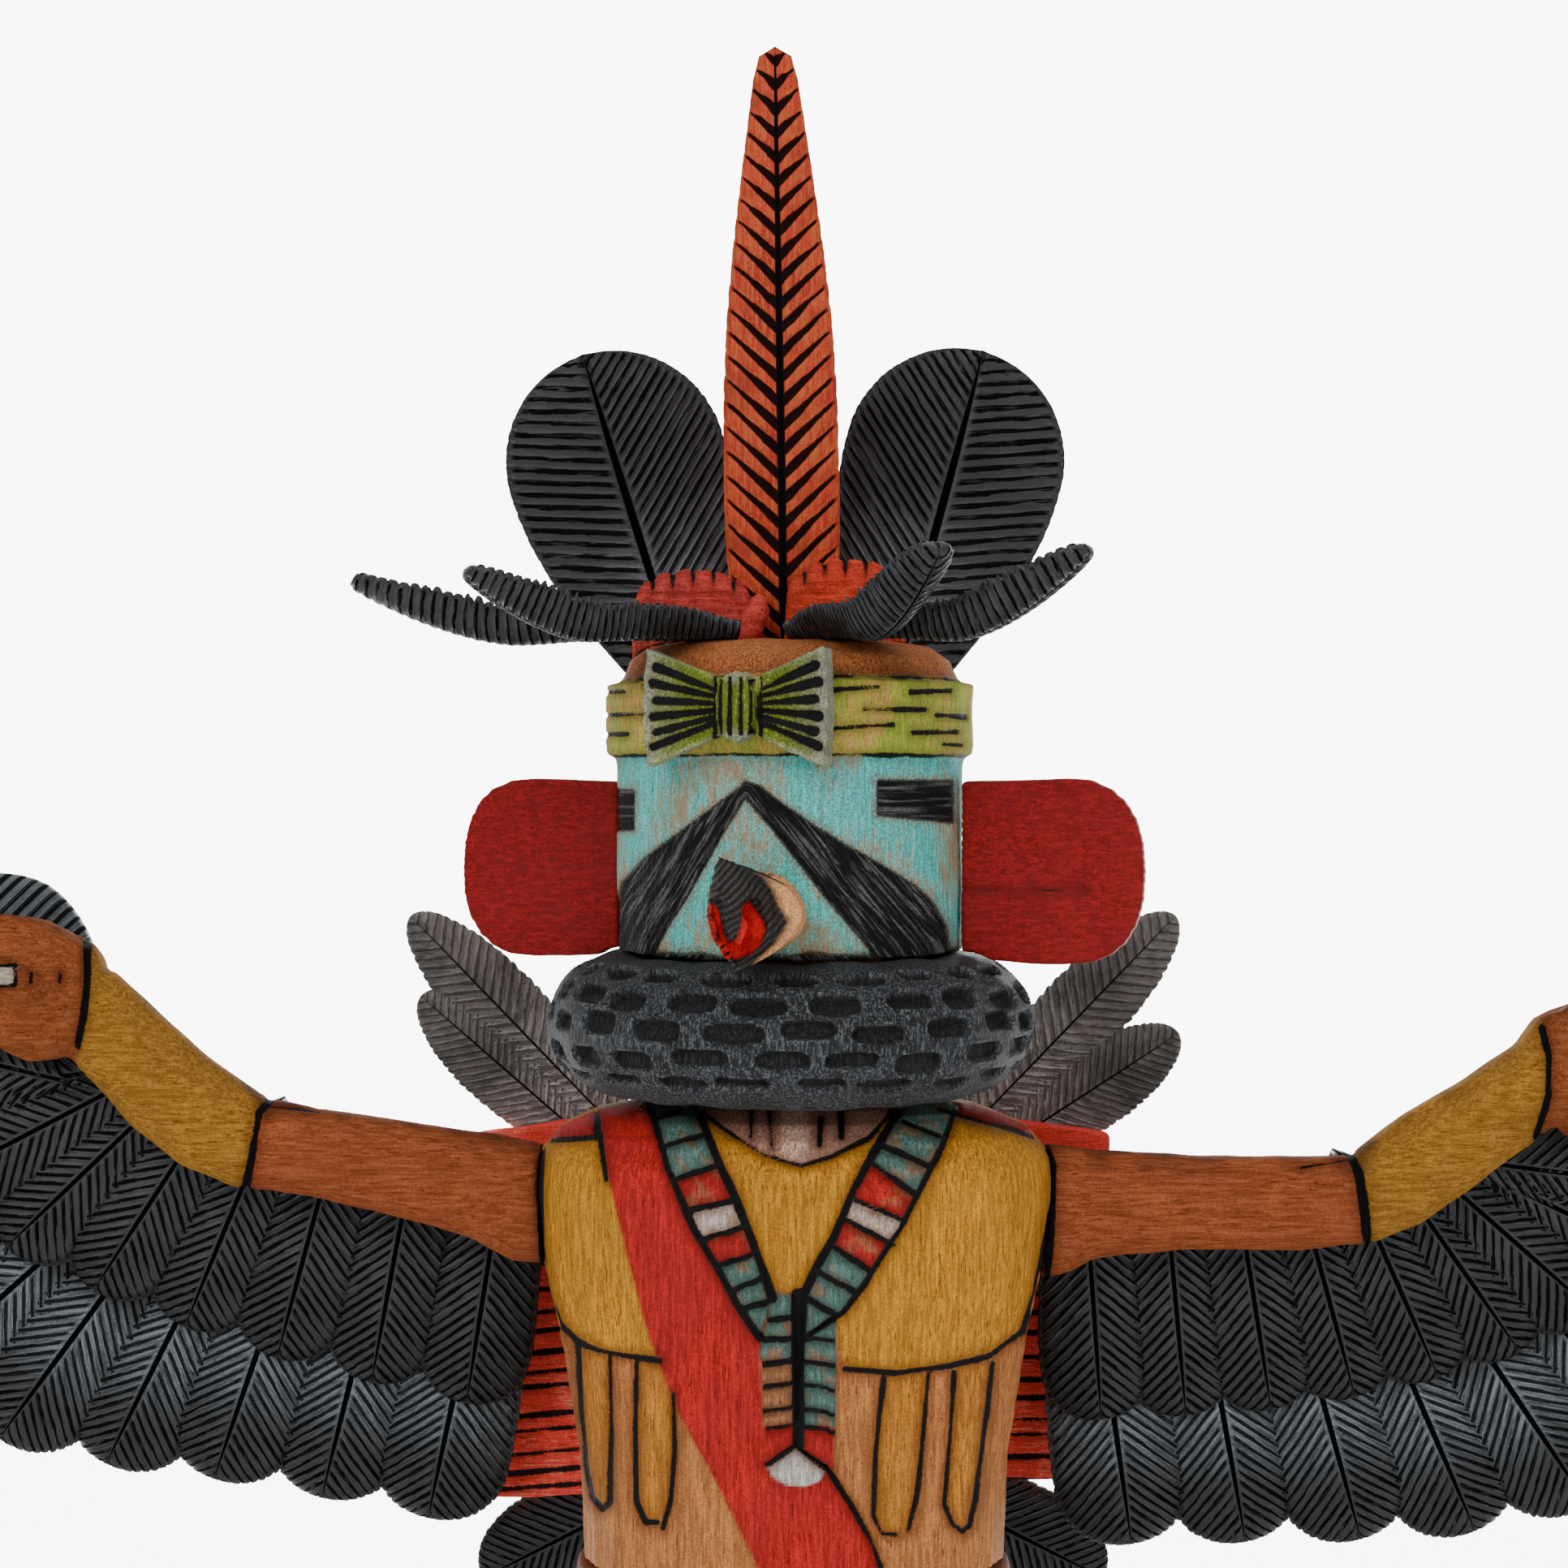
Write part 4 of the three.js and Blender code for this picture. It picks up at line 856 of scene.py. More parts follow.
def makeRuff():
    middle = ruff["radius"] - ruff["tube"]
    centre = level["ruff"] + ruff["tube"]
    steps = ruff["around"] // 1
    bm = bmesh.new()
    made = bmesh.ops.create_circle(bm, segments=ruff["section"], radius=ruff["tube"])
    for v in made["verts"]:
        v.co = (middle + v.co.x, 0, centre + v.co.y)
    bmesh.ops.spin(bm, geom=bm.verts[:] + bm.edges[:], cent=(0, 0, 0), axis=(0, 0, 1),
                   angle=math.tau, steps=steps, use_merge=True)
    bmesh.ops.recalc_face_normals(bm, faces=bm.faces[:])
    mesh = meshFrom(bm, "ruff")
    co = rawPoints(mesh)
    around = np.arctan2(co[:, 0], -co[:, 1])
    out = np.hypot(co[:, 0], co[:, 1])
    tilt = np.arctan2(co[:, 2] - centre, out - middle)
    rng = np.random.default_rng(5)
    depth = np.zeros(len(co))
    rim = np.zeros(len(co))
    for k, row in enumerate(ruff["rows"]):
        count = ruff["pits"]
        shift = rng.uniform(-0.1, 0.1, count)
        wide = rng.uniform(0.82, 1.12, count)
        rise = rng.uniform(-0.06, 0.06, count)
        high = rng.uniform(0.8, 1.15, count) * (0.75 if k in (0, 4) else 1)
        turn = around / math.tau * count - (k % 2) * 0.5 - 0.1 * k
        which = np.round(turn).astype(int) % count
        dx = (turn - np.round(turn) - shift[which]) * math.tau * ruff["radius"] / count
        dy = (tilt - math.radians(row) - rise[which]) * ruff["tube"]
        far = ((np.abs(dx) / (ruff["pitHalfWidth"] * wide[which])) ** 3.4
               + (np.abs(dy) / (ruff["pitHalfHeight"] * high[which])) ** 2.4) ** 0.4
        slant = 0.8 + 0.25 * np.clip(dy / ruff["pitHalfHeight"], -1, 1)
        depth = np.maximum(depth, smoothStep(1.03, 0.88, far) * slant)
        rim = np.maximum(rim, np.exp(-((far - 1.07) / 0.06) ** 2))
    lumps = 0.25 * waves(co, 9, 11) * (1 - depth)
    ripples = 0.09 * np.sin(tilt * ruff["tube"] * cycle / 1.1 + waves(co, 12, 12))
    ripples *= smoothStep(-0.7, -0.95, tilt)
    push = -0.35 + lumps - ruff["pitDepth"] * depth + ripples + 0.12 * rim
    sideways = np.cos(tilt) / out
    direction = np.stack([sideways * co[:, 0], sideways * co[:, 1], np.sin(tilt)], axis=1)
    co = co + direction * push[:, None]
    below = np.minimum(co[:, 2] - centre, 0)
    co[:, 2] -= below * (1 - ruff["flatter"])
    co[:, :2] *= ruff["wider"]
    co[:, 0] += ruff["aside"]
    setPoints(mesh, co)
    # the pits' depth, which the paint below darkens as painted shade
    setField(mesh, "cut", depth)
    setField(mesh, "rim", rim * (1 - depth))
    material, tree, shader = newMaterial("ruff_paint", specular=0.25)
    fine = noise(tree, texturePlace(tree, (0.35, 0.35, 0.35)), 3, 0.7)
    upright = noise(tree, texturePlace(tree, (0.3, 0.3, 2.2)), 4, 0.6)
    patch = noise(tree, texturePlace(tree, (10, 10, 6)), 3, 0.5)
    coat = blendColour(tree, fade(tree, patch, 0.4, 0.65), colour(34, 36, 40), colour(22, 23, 25))
    brushed = fade(tree, calc(tree, "MULTIPLY_ADD", fine, 0.8, upright), 0.86, 1.1, 0.0, 0.5)
    coat = blendColour(tree, brushed, coat, colour(120, 126, 130))
    edge = calc(tree, "MULTIPLY", field(tree, "rim"), fade(tree, fine, 0.42, 0.62, 0.0, 0.8))
    coat = blendColour(tree, edge, coat, colour(124, 126, 126))
    scratch = fade(tree, upright, 0.5, 0.38, 0.0, 0.6)
    coat = blendColour(tree, scratch, coat, colour(9, 9, 10))
    # painted shade: the deeper in a pit, the nearer to black
    coat = blendColour(tree, fade(tree, field(tree, "cut"), 0.2, 0.6, 0.0, 0.72), coat, colour(9, 9, 10))
    tree.links.new(coat, shader.inputs["Base Color"])
    tree.links.new(fade(tree, fine, 0.3, 0.7, 0.5, 0.8), shader.inputs["Roughness"])
    bumped(tree, shader, [(upright, 0.4), (fine, 0.2)])
    addPiece("ruff_carved", mesh, ["ruff"], [material])


# Head: painted mask, headband and bare wooden top. Outlines lie on the sight plane.

mask = {
    "vLeft": [(-7.0, 265.2), (-10.8, 262.4), (-16.3, 258.4), (-21.9, 254.3), (-25.4, 250.5), (-26.2, 247.8),
              (-26.9, 236.7), (-22.4, 236.7), (-21.6, 238.9), (-18.8, 244.2), (-15.8, 248.8), (-13.0, 253.8),
              (-10.3, 258.4), (-7.5, 262.9)],
    "vRight": [(-7.5, 265.4), (-5.2, 264.7), (-2.2, 262.4), (2.9, 258.9), (8.4, 255.6), (13.5, 252.8),
               (18.0, 250.0), (20.8, 247.3), (22.6, 244.0), (23.7, 239.4), (24.1, 236.7), (15.0, 236.7),
               (12.7, 239.4), (8.9, 243.7), (4.9, 248.3), (1.4, 252.8), (-2.2, 257.4), (-5.2, 260.9),
               (-7.2, 263.2)],
    "eyeRight": [(12.7, 265.5), (23.7, 265.4), (23.8, 259.5), (12.7, 260.6)],
    "eyeLeft": [(-27.5, 264.1), (-24.0, 264.1), (-24.0, 258.4), (-27.5, 258.4)],
    "innerLeft": [(-7.2, 263.5), (-10.3, 258.4), (-13.0, 253.8), (-15.8, 248.8), (-18.8, 244.2),
                  (-22.4, 236.7)],
    "innerRight": [(-7.2, 263.5), (-5.2, 260.9), (-2.2, 257.4), (1.4, 252.8), (4.9, 248.3), (8.9, 243.7),
                   (15.0, 236.7)],
}
headband = {"dashHalf": 0.28, "dashes": [
    [(5.4, 279.0), (12.8, 279.5)], [(17.6, 278.7), (23.2, 278.9)], [(10.5, 276.2), (19.7, 276.1)],
    [(5.6, 273.3), (14.8, 273.9)], [(17.8, 272.7), (24.4, 272.8)], [(21.4, 275.3), (25.6, 275.0)],
    [(-27.8, 278.7), (-25.4, 278.8)], [(-27.6, 275.3), (-22.5, 275.5)], [(-27.8, 272.4), (-24.8, 272.5)],
    [(-22.4, 279.7), (-19.5, 279.8)], [(22.6, 271.0), (25.0, 270.8)]],
    "backRows": (272.6, 275.6, 278.6), "backCount": 13, "backHalf": 3.2, "radius": 27.2}


def makeHead():
    mesh = carvedCopy("head", 0.42)
    co, no = points(mesh), normals(mesh)
    u, v = sightPlane(co)
    front = (no[:, 1] < 0.25) & (co[:, 1] < 6)
    z = co[:, 2]
    onMask = smoothStep(level["band"] - 0.6, level["band"] - 1.0, z)
    shapes = np.minimum(shapeDistance(u, v, mask["vLeft"]), shapeDistance(u, v, mask["vRight"]))
    eyes = np.minimum(shapeDistance(u, v, mask["eyeRight"]), shapeDistance(u, v, mask["eyeLeft"]))
    dark = np.where(front, np.minimum(shapes, eyes), noLine)
    inner = [lineDistance(u, v, mask[key]) for key in ("innerLeft", "innerRight")]
    stripe = np.where(u < mask["innerLeft"][0][0], *inner)
    stripe = np.where(eyes < shapes, v * 0.8, stripe)
    inside = smoothStep(0.15, -0.25, dark) * onMask
    outline = np.exp(-(dark / 0.32) ** 2) * onMask
    push = -0.2 * inside - 0.28 * outline
    around = np.arctan2(co[:, 1], co[:, 0] - headMiddle)
    dashes = nearestLine(u, v, [(headband["dashHalf"], dash) for dash in headband["dashes"]])
    dashes = np.where((no[:, 1] < 0.1), dashes, noLine)
    # the same kind of dashes, in three staggered rows, round the back
    behind = noLine + 0 * z
    for k, high in enumerate(headband["backRows"]):
        turn = around / math.tau * headband["backCount"] + k * 0.37
        near = np.abs(turn - np.round(turn)) * math.tau * headband["radius"] / headband["backCount"]
        dash = np.hypot(np.maximum(near - headband["backHalf"], 0), z - high) - headband["dashHalf"]
        behind = np.minimum(behind, dash)
    dashes = np.where(co[:, 1] > 4, behind, dashes)
    onBand = smoothStep(level["band"] + 0.2, level["band"] + 0.6, z)
    onBand *= smoothStep(level["bandTop"], level["bandTop"] - 0.4, z)
    push -= 0.4 * smoothStep(0.3, -0.1, dashes) * onBand
    rim = np.minimum(np.abs(z - level["band"] - 0.1), np.abs(z - level["bandTop"] - 0.1))
    edge = np.minimum(np.abs(z - level["band"] - 0.8), np.abs(z - level["bandTop"] + 0.5))
    notch = np.exp(-(edge / 0.7) ** 2)
    push -= 0.22 * notch * (0.5 + 0.5 * np.sin(around * 46 + 2 * waves(co, 14, 6)))
    push += 0.12 * waves(co, 8, 2)
    push += 0.06 * np.sin(around * 150 + 3 * waves(co, 10, 4)) * smoothStep(0.8, 0.3, np.abs(no[:, 2]))
    co = co + no * push[:, None] - no * 0.12
    co[:, 2] -= 0.45 * smoothStep(level["mask"] + 1.6, level["mask"] + 0.4, z)
    setPoints(mesh, co)
    dark = np.minimum(dark, z - level["mask"] - 0.55 + 0.3 * waves(co, 6, 33))
    setField(mesh, "dark", dark)
    setField(mesh, "stripe", stripe)
    line = np.minimum(np.where(onBand > 0.1, dashes, noLine), rim - 0.12)
    setField(mesh, "line", line)
    maskPaint = paintedWood("mask_paint", colour=(92, 196, 192), under=(176, 138, 104), wear=0.7,
                            wearMost=0.8, shade=(0.6, 0.66, 0.6), streak=0.75, dark=(98, 98, 99),
                            grainDepth=0.3, patchy=0.66, pores=0.5, scorch=0.4, speckle=0.34,
                            speckDepth=0.16, halo=(124, 78, 48), stain=(140, 116, 84))
    bandPaint = paintedWood("band_paint", colour=(150, 166, 60), under=(190, 140, 84), wear=0.72,
                            wearMost=0.8, shade=(0.62, 0.62, 0.4), grainDepth=0.22, patchy=0.75)
    topPaint = paintedWood("bare_top", colour=(150, 88, 46), under=(172, 116, 70), wear=0.76,
                           speckle=0.45, streak=0.35, speckDepth=0.16, flecks=0.5)
    addPiece("head_carved", mesh, ["head"], [maskPaint, bandPaint, topPaint])
    centre = np.zeros(len(mesh.polygons) * 3)
    mesh.polygons.foreach_get("center", centre)
    high = centre.reshape(-1, 3)[:, 2] / mm
    slot = np.where(high > level["bandTop"] + 0.2, 2, np.where(high > level["band"] + 0.1, 1, 0))
    mesh.polygons.foreach_set("material_index", slot.astype(np.int32))


# Ears and back panel: plain painted boards

ear = {"crack": [(25, 249.6), (34, 249.2), (43, 249.6)]}


def makeEars():
    paint = paintedWood("ear_paint", colour=(141, 20, 19), axis=0, turn=(0, 0, -headTurn),
                        under=(94, 12, 12), wear=0.66, wearMost=0.7, shade=(0.5, 0.35, 0.35),
                        grainDepth=0.14, rough=(0.5, 0.75))
    for word, side in sides:
        mesh = carvedCopy("ear_" + word, 0.4, 8)
        co, no = points(mesh), normals(mesh)
        u, v = sightPlane(co)
        push = 0.1 * waves(co, 9, 31 + side) + 0.05 * np.sin(co[:, 2] * cycle / 1.3 + 2 * waves(co, 20, 8))
        crack = lineDistance(u, v, ear["crack"])
        push -= 0.15 * np.exp(-(crack / 0.3) ** 2)
        setPoints(mesh, co + no * (push - 0.1)[:, None])
        setField(mesh, "line", np.where((side > 0) & (no[:, 1] < 0), crack + 0.02, noLine))
        addPiece("ear_" + word + "_carved", mesh, ["ear_" + word], [paint])


panel = {"halfWidth": 49.0, "top": 214.7, "bottom": 153.7, "lineStep": 3.15, "firstLine": 3.0, "lines": 18,
         "lineHalf": 0.36, "seam": 27.0}


def makePanel():
    mesh = carvedCopy("back_panel", 0.5, 5)
    co, no = points(mesh), normals(mesh)
    rng = np.random.default_rng(9)
    x, z = co[:, 0], co[:, 2]
    line = np.full(len(co), noLine)
    for k in range(panel["lines"]):
        high = panel["bottom"] + panel["firstLine"] + k * panel["lineStep"] + rng.uniform(-0.3, 0.3)
        slope = rng.uniform(-0.02, 0.02) + 0.05 * np.clip(-x / panel["halfWidth"], 0, 1)
        line = np.minimum(line, np.abs(z - high - slope * x) - panel["lineHalf"] * rng.uniform(0.8, 1.3))
    shoulderSeam = np.abs(np.abs(x) - panel["seam"]) - 0.35
    line = np.where(z > panel["top"] - 6, np.where(z > panel["top"] - 5, shoulderSeam, noLine), line)
    push = -0.3 * smoothStep(0.35, -0.1, line) + 0.12 * waves(co, 11, 15) - 0.1
    setPoints(mesh, co + no * push[:, None])
    setField(mesh, "line", line)
    paint = paintedWood("panel_paint", colour=(226, 68, 56), axis=0, under=(226, 140, 116), wear=0.78,
                        streak=0.4, wearMost=0.7, shade=(0.6, 0.4, 0.4), patchy=0.7, soot=0.05, scorch=0.15)
    addPiece("back_panel_carved", mesh, ["back_panel"], [paint])


# Beak

beak = {
    "mouth": [(-12.8, 247.3), (-12.0, 247.6), (-11.1, 246.2), (-10.5, 243.3), (-9.7, 241.7), (-8.5, 242.1),
              (-7.8, 244.4), (-7.5, 247.0), (-6.5, 247.8), (-5.6, 246.5), (-4.4, 244.4), (-4.3, 243.3),
              (-5.0, 241.5), (-6.2, 240.1), (-8.2, 239.3), (-10.0, 239.2), (-11.1, 240.9), (-12.3, 244.4)],
    "left": ((236.4, 239.2, 241.6, 245.5, 249.6, 253.1, 254.4),
             (-8.6, -10.0, -11.8, -13.0, -12.6, -11.8, -11.2)),
    "right": ((236.4, 239.2, 241.6, 244.5, 246.1, 249.6, 251.4, 253.5, 254.4),
              (-8.4, -5.3, -3.0, -1.9, -3.0, -3.8, -5.3, -8.3, -11.1)),
    "pegEnd": 33.7, "pegRadius": 6.4, "pegLevel": 247.3, "turn": -9.0, "pegShift": 2.7, "pegSlim": 0.72,
    "tanReach": 5.6, "slices": 24, "fanFrom": (-17.0, 258.0), "fanStep": 0.95,
}


def makeBeak():
    mesh = carvedCopy("beak", 0.22, 5)
    co, no = points(mesh), normals(mesh)
    u, v = sightPlane(co)
    turn = math.radians(beak["turn"])
    away = (co[:, 0] - headMiddle) * math.sin(turn) - co[:, 1] * math.cos(turn)
    aside = (co[:, 0] - headMiddle) * math.cos(turn) + co[:, 1] * math.sin(turn)
    fromAxis = np.hypot(aside, co[:, 2] - beak["pegLevel"])
    chipped = 0.5 * waves(co, 2.2, 3)
    peg = smoothStep(beak["pegEnd"] + 0.3, beak["pegEnd"] - 0.3, away + chipped)
    peg *= smoothStep(beak["pegRadius"] + 0.5, beak["pegRadius"], fromAxis)
    fromLevel = np.abs(co[:, 2] - beak["pegLevel"]) + chipped
    peg *= smoothStep(beak["tanReach"] + 0.5, beak["tanReach"] - 0.5, fromLevel)
    bill = 1 - smoothStep(beak["pegEnd"] + 0.6, beak["pegEnd"] - 0.8, away) * smoothStep(7.2, 6.2, fromAxis)
    # the bill's outline is drawn out to the points of a leaf shape
    ahead = away > beak["pegEnd"] + 0.9
    low, high = v[ahead].min(), v[ahead].max()
    rise = np.clip((v - low) / (high - low), 0, 1)
    slices = beak["slices"]
    bins = np.clip((rise * slices).astype(int), 0, slices - 1)
    leftmost = np.array([u[ahead & (bins == k)].min() for k in range(slices)])
    rightmost = np.array([u[ahead & (bins == k)].max() for k in range(slices)])
    middles = (np.arange(slices) + 0.5) / slices
    fromLeft, toRight = np.interp(rise, middles, leftmost), np.interp(rise, middles, rightmost)
    newV = beak["left"][0][0] + rise * (beak["left"][0][-1] - beak["left"][0][0])
    newLeft, newRight = np.interp(newV, *beak["left"]), np.interp(newV, *beak["right"])
    newU = newLeft + np.clip((u - fromLeft) / (toRight - fromLeft), 0, 1) * (newRight - newLeft)
    far = (co[:, 1] - eye["y"]) / -eye["y"]
    moved = co.copy()
    moved[:, 0] += (newU - u) * far
    moved[:, 2] += (newV - v) * far
    slim = 1 - (1 - beak["pegSlim"]) * smoothStep(25, 30, away) * (1 - bill)
    co[:, 2] = beak["pegLevel"] + (co[:, 2] - beak["pegLevel"]) * slim
    co[:, 0] += aside * math.cos(turn) * (slim - 1)
    co[:, 0] += beak["pegShift"] * smoothStep(27, 30, away) * (1 - bill)
    co = co + (moved - co) * bill[:, None]
    u, v = sightPlane(co)
    setPoints(mesh, co)
    no = normals(mesh)
    mouth = shapeDistance(u, v, beak["mouth"])
    facing = smoothStep(0.3, -0.1, no[:, 1])
    hollow = smoothStep(0.15, -0.25, mouth) * facing * (1 - peg)
    fan = np.hypot(u - beak["fanFrom"][0], v - beak["fanFrom"][1])
    stripes = np.sin(fan * cycle / beak["fanStep"] + 1.2 * waves(co, 4, 7)) * (1 - peg) * (1 - hollow)
    push = -0.16 * (0.5 + 0.5 * stripes) - 0.45 * hollow + 0.12 * waves(co, 2, 4) * hollow + 0.3 * peg
    setPoints(mesh, co + no * push[:, None])
    paint = over(tint(20, 18, 19), smoothStep(-0.3, 0.8, stripes), tint(64, 58, 56))
    paint = over(paint, hollow, tint(196, 20, 16))
    paint = over(paint, peg, tint(206, 150, 100))
    broken = smoothStep(0.9, 0.2, np.hypot(u - 2.0, v - 248.2) + 0.4 * waves(co, 1.2, 9)) * peg
    setPaint(mesh, over(paint, broken, tint(228, 200, 170)))
    setField(mesh, "line", np.where((peg <= 0.4) & (facing > 0.5), np.abs(mouth) + 0.05, noLine))
    material = paintedWood("beak_paint", wear=1.3, streak=0.35, speckle=0.35, rough=(0.4, 0.65),
                           speckDepth=0.14, grainDepth=0.05, scorch=0.3)
    addPiece("beak_carved", mesh, ["beak"], [material])


# Headband bow

bow = {"middleLevel": 275.8, "halfLeft": 13.2, "halfRight": 12.3, "knotHalf": 3.1, "knotHigh": 5.2,
       "endHigh": 8.3, "strokes": (-0.78, -0.5, -0.2, 0.12, 0.45, 0.76),
       "knotStrokes": (-0.7, -0.25, 0.25, 0.7)}


def makeBow():
    mesh = carvedCopy("headband_bow", 0.2, 5)
    co, no = points(mesh), normals(mesh)
    # flat coordinates along and up the bow, from the middle of its knot
    x = (co[:, 0] - headMiddle) * math.cos(headTurn) + co[:, 1] * math.sin(headTurn)
    z = co[:, 2] - bow["middleLevel"]
    front = smoothStep(-0.2, -0.6, no[:, 1])
    line = np.full(len(co), noLine)
    for side, reach in ((-1, bow["halfLeft"]), (1, bow["halfRight"])):
        for k, share in enumerate(bow["strokes"]):
            start = (side * (bow["knotHalf"] + 0.3), share * 3.0)
            end = (side * (reach - 1.0 - 0.5 * (k % 2)), share * bow["endHigh"] * 0.86)
            away = lineDistance(x, z, [start, end])
            run = np.clip((np.abs(x) - bow["knotHalf"]) / (reach - bow["knotHalf"]), 0, 1)
            line = np.minimum(line, away - 0.3 - 0.34 * run)
    for share in bow["knotStrokes"]:
        stroke = np.hypot(x - share * bow["knotHalf"], np.maximum(np.abs(z) - 3.8, 0)) - 0.22
        line = np.minimum(line, stroke)
    seams = np.hypot(np.abs(x) - bow["knotHalf"] - 0.15, np.maximum(np.abs(z) - bow["knotHigh"], 0)) - 0.2
    line = np.minimum(line, seams)
    line = np.where(no[:, 1] < 0.1, line, noLine)
    push = -0.4 * smoothStep(0.25, -0.15, line) * front + 0.12 * waves(co, 2.2, 18)
    fold = np.where(np.abs(x) > bow["knotHalf"], 0.25 * np.cos(z / (0.35 + np.abs(x) / 13) * 1.9), 0)
    setPoints(mesh, co + no * (push + fold * front - 0.15)[:, None])
    setField(mesh, "line", line)
    reach = np.where(x < 0, bow["halfLeft"], bow["halfRight"])
    toEnd = reach - np.abs(x)
    high = 3.7 + (np.abs(x) / 12.5) * 4.6 - np.abs(z)
    chipped = smoothStep(2.6, 0.4, toEnd + 0.8 * waves(co, 2, 23))
    frayed = np.maximum(chipped, smoothStep(1.2, 0.2, high) * 0.8)
    frayed = np.maximum(frayed, smoothStep(6.5, 0.0, toEnd) * 0.55)
    setPaint(mesh, over(tint(112, 132, 30), frayed, tint(150, 156, 136)))
    material = paintedWood("bow_paint", under=(186, 182, 120), wear=0.66, speckle=0.4, speckDepth=0.2,
                           streak=0.5)
    addPiece("headband_bow_carved", mesh, ["headband_bow"], [material])


# Red tufts: scalloped boards that stand on the rounded top

tuft = {"middleLeft": -14.8, "topLeft": 296.6, "colourLeft": (186, 62, 54),
        "middleRight": 7.6, "topRight": 298.2, "colourRight": (200, 62, 38), "half": 9.0,
        "front": -2.2, "back": 0.9, "scallops": 6, "curl": (-6.0, -3.6, 288.9), "curlSize": (2.1, 1.9, 4.0)}
dome = {"radius": 24.6, "round": 7.0, "rise": 6.0}


def domeSurface(x, y):
    past = np.clip((np.hypot(x - headMiddle, y) - dome["radius"] + dome["round"]) / dome["round"], 0, 1)
    return level["bandTop"] + dome["rise"] * np.sqrt(1 - past ** 2)


def makeCurl():
    # a small curled end lies in front, beside the crest
    bm = bmesh.new()
    bmesh.ops.create_uvsphere(bm, u_segments=40, v_segments=28, radius=1.0)
    mesh = meshFrom(bm, "curl")
    ball = rawPoints(mesh)
    roll = ball * np.array(tuft["curlSize"]) + np.array(tuft["curl"])
    roll[:, 0] += 0.9 * np.sin(ball[:, 2] * 1.6)
    groove = np.abs(np.sin(ball[:, 2] * 4.2 + 0.6))
    roll += ball * (-0.3 * np.exp(-(groove / 0.25) ** 2))[:, None]
    setPoints(mesh, roll)
    setField(mesh, "line", np.where(groove < 0.2, groove - 0.12, noLine))
    setField(mesh, "cut", 0 * groove)
    return mesh


def makeTufts():
    for word, side in sides:
        cap = word.capitalize()
        mesh = featherGrid(80, 36)
        raw = rawPoints(mesh)
        across, t = raw[:, 0], (raw[:, 1] + 1) / 2
        x = tuft["middle" + cap] + across * tuft["half"]
        arc = (1 - np.abs(across) ** 2.6) ** 0.4
        wave = np.abs(np.sin((across + 1) / 2 * math.pi * tuft["scallops"])) ** 0.55
        rise = tuft["top" + cap] - level["dome"]
        y = np.where(raw[:, 2] > -0.5, tuft["front"], tuft["back"])
        foot = domeSurface(x, y) - 0.25
        top = level["dome"] + rise * (0.3 + 0.7 * arc) * (0.95 + 0.05 * wave)
        z = foot + t * (top - foot)
        thin = 1 - 0.75 * smoothStep(0.75, 1, t) - 0.6 * smoothStep(0.9, 1, np.abs(across))
        middle = (tuft["front"] + tuft["back"]) / 2
        y = middle + (y - middle) * np.clip(thin, 0.12, 1) - 0.8 * t * t
        co = np.stack([x, y, z], axis=1)
        notch = (across + 1) / 2 * tuft["scallops"]
        aside = np.abs(notch - np.round(notch)) * 2 * tuft["half"] / tuft["scallops"]
        line = np.hypot(aside, np.maximum(top - 2.2 - z, 0) * 0.8) - 0.26 * smoothStep(top - 2.6, top, z)
        setPoints(mesh, co)
        no = normals(mesh)
        push = -0.3 * smoothStep(0.3, -0.1, line) + 0.16 * waves(co, 2.4, 60)
        push += 0.08 * np.sin(z * 4.5 + waves(co, 5, 61))
        push *= 1 - smoothStep(0.86, 0.97, np.abs(across))
        setPoints(mesh, co + no * push[:, None])
        setField(mesh, "line", line)
        # painted shade at the foot of each tuft, where it stands on the dome, broken into upright stripes
        setField(mesh, "cut", smoothStep(0.46, 0.3, t) * (0.55 + 0.45 * np.sin(x * cycle / 0.9)))
        if side < 0:
            mesh = joinMeshes("tuft_left", [mesh, makeCurl()])
        material = paintedWood("tuft_paint_" + word, colour=tuft["colour" + cap], under=(214, 96, 70),
                               wear=0.78, cut=0.7, cutColour=(96, 48, 28), speckle=0.3, speckDepth=0.16,
                               axis=0)
        addPiece("red_tuft_" + word + "_carved", mesh, ["red_tuft_" + word], [material])


# Arms: skin-brown upper arm, ochre sleeve, hand

arm = {
    "elbowLeft": [(-77.4, 218.4), (-79.0, 216.8), (-79.6, 213.5), (-80.1, 210.2), (-81.1, 205.2)],
    "elbowTipLeft": [(-77.9, 217.6), (-70.0, 216.9)],
    "wristLeft": [(-104.3, 241.9), (-104.3, 237.0), (-105.0, 231.0), (-106.0, 226.2)],
    "elbowRight": [(82.2, 210.6), (83.6, 207.6), (84.2, 203.6), (84.6, 200.4), (84.9, 196.8)],
    "elbowTipRight": [(82.4, 209.8), (75.0, 208.6)],
    "wristRight": [(110.4, 229.2), (111.6, 225.0), (111.7, 219.0), (110.0, 212.8)],
    "nailLeft": [(-121.0, 238.2), (-114.9, 238.6), (-115.2, 235.3), (-121.0, 234.6)],
    "dashesLeft": [[(-112.6, 237.3), (-112.7, 235.9)], [(-108.4, 237.0), (-108.5, 235.8)]],
    "seamLeft": [(-37.2, 213.6), (-37.9, 206.1), (-37.7, 196.4), (-37.3, 190.8)],
    "seamRight": [(37.6, 212.0), (39.0, 208.9), (38.8, 203.2), (38.4, 196.4), (38.0, 191.5)],
}


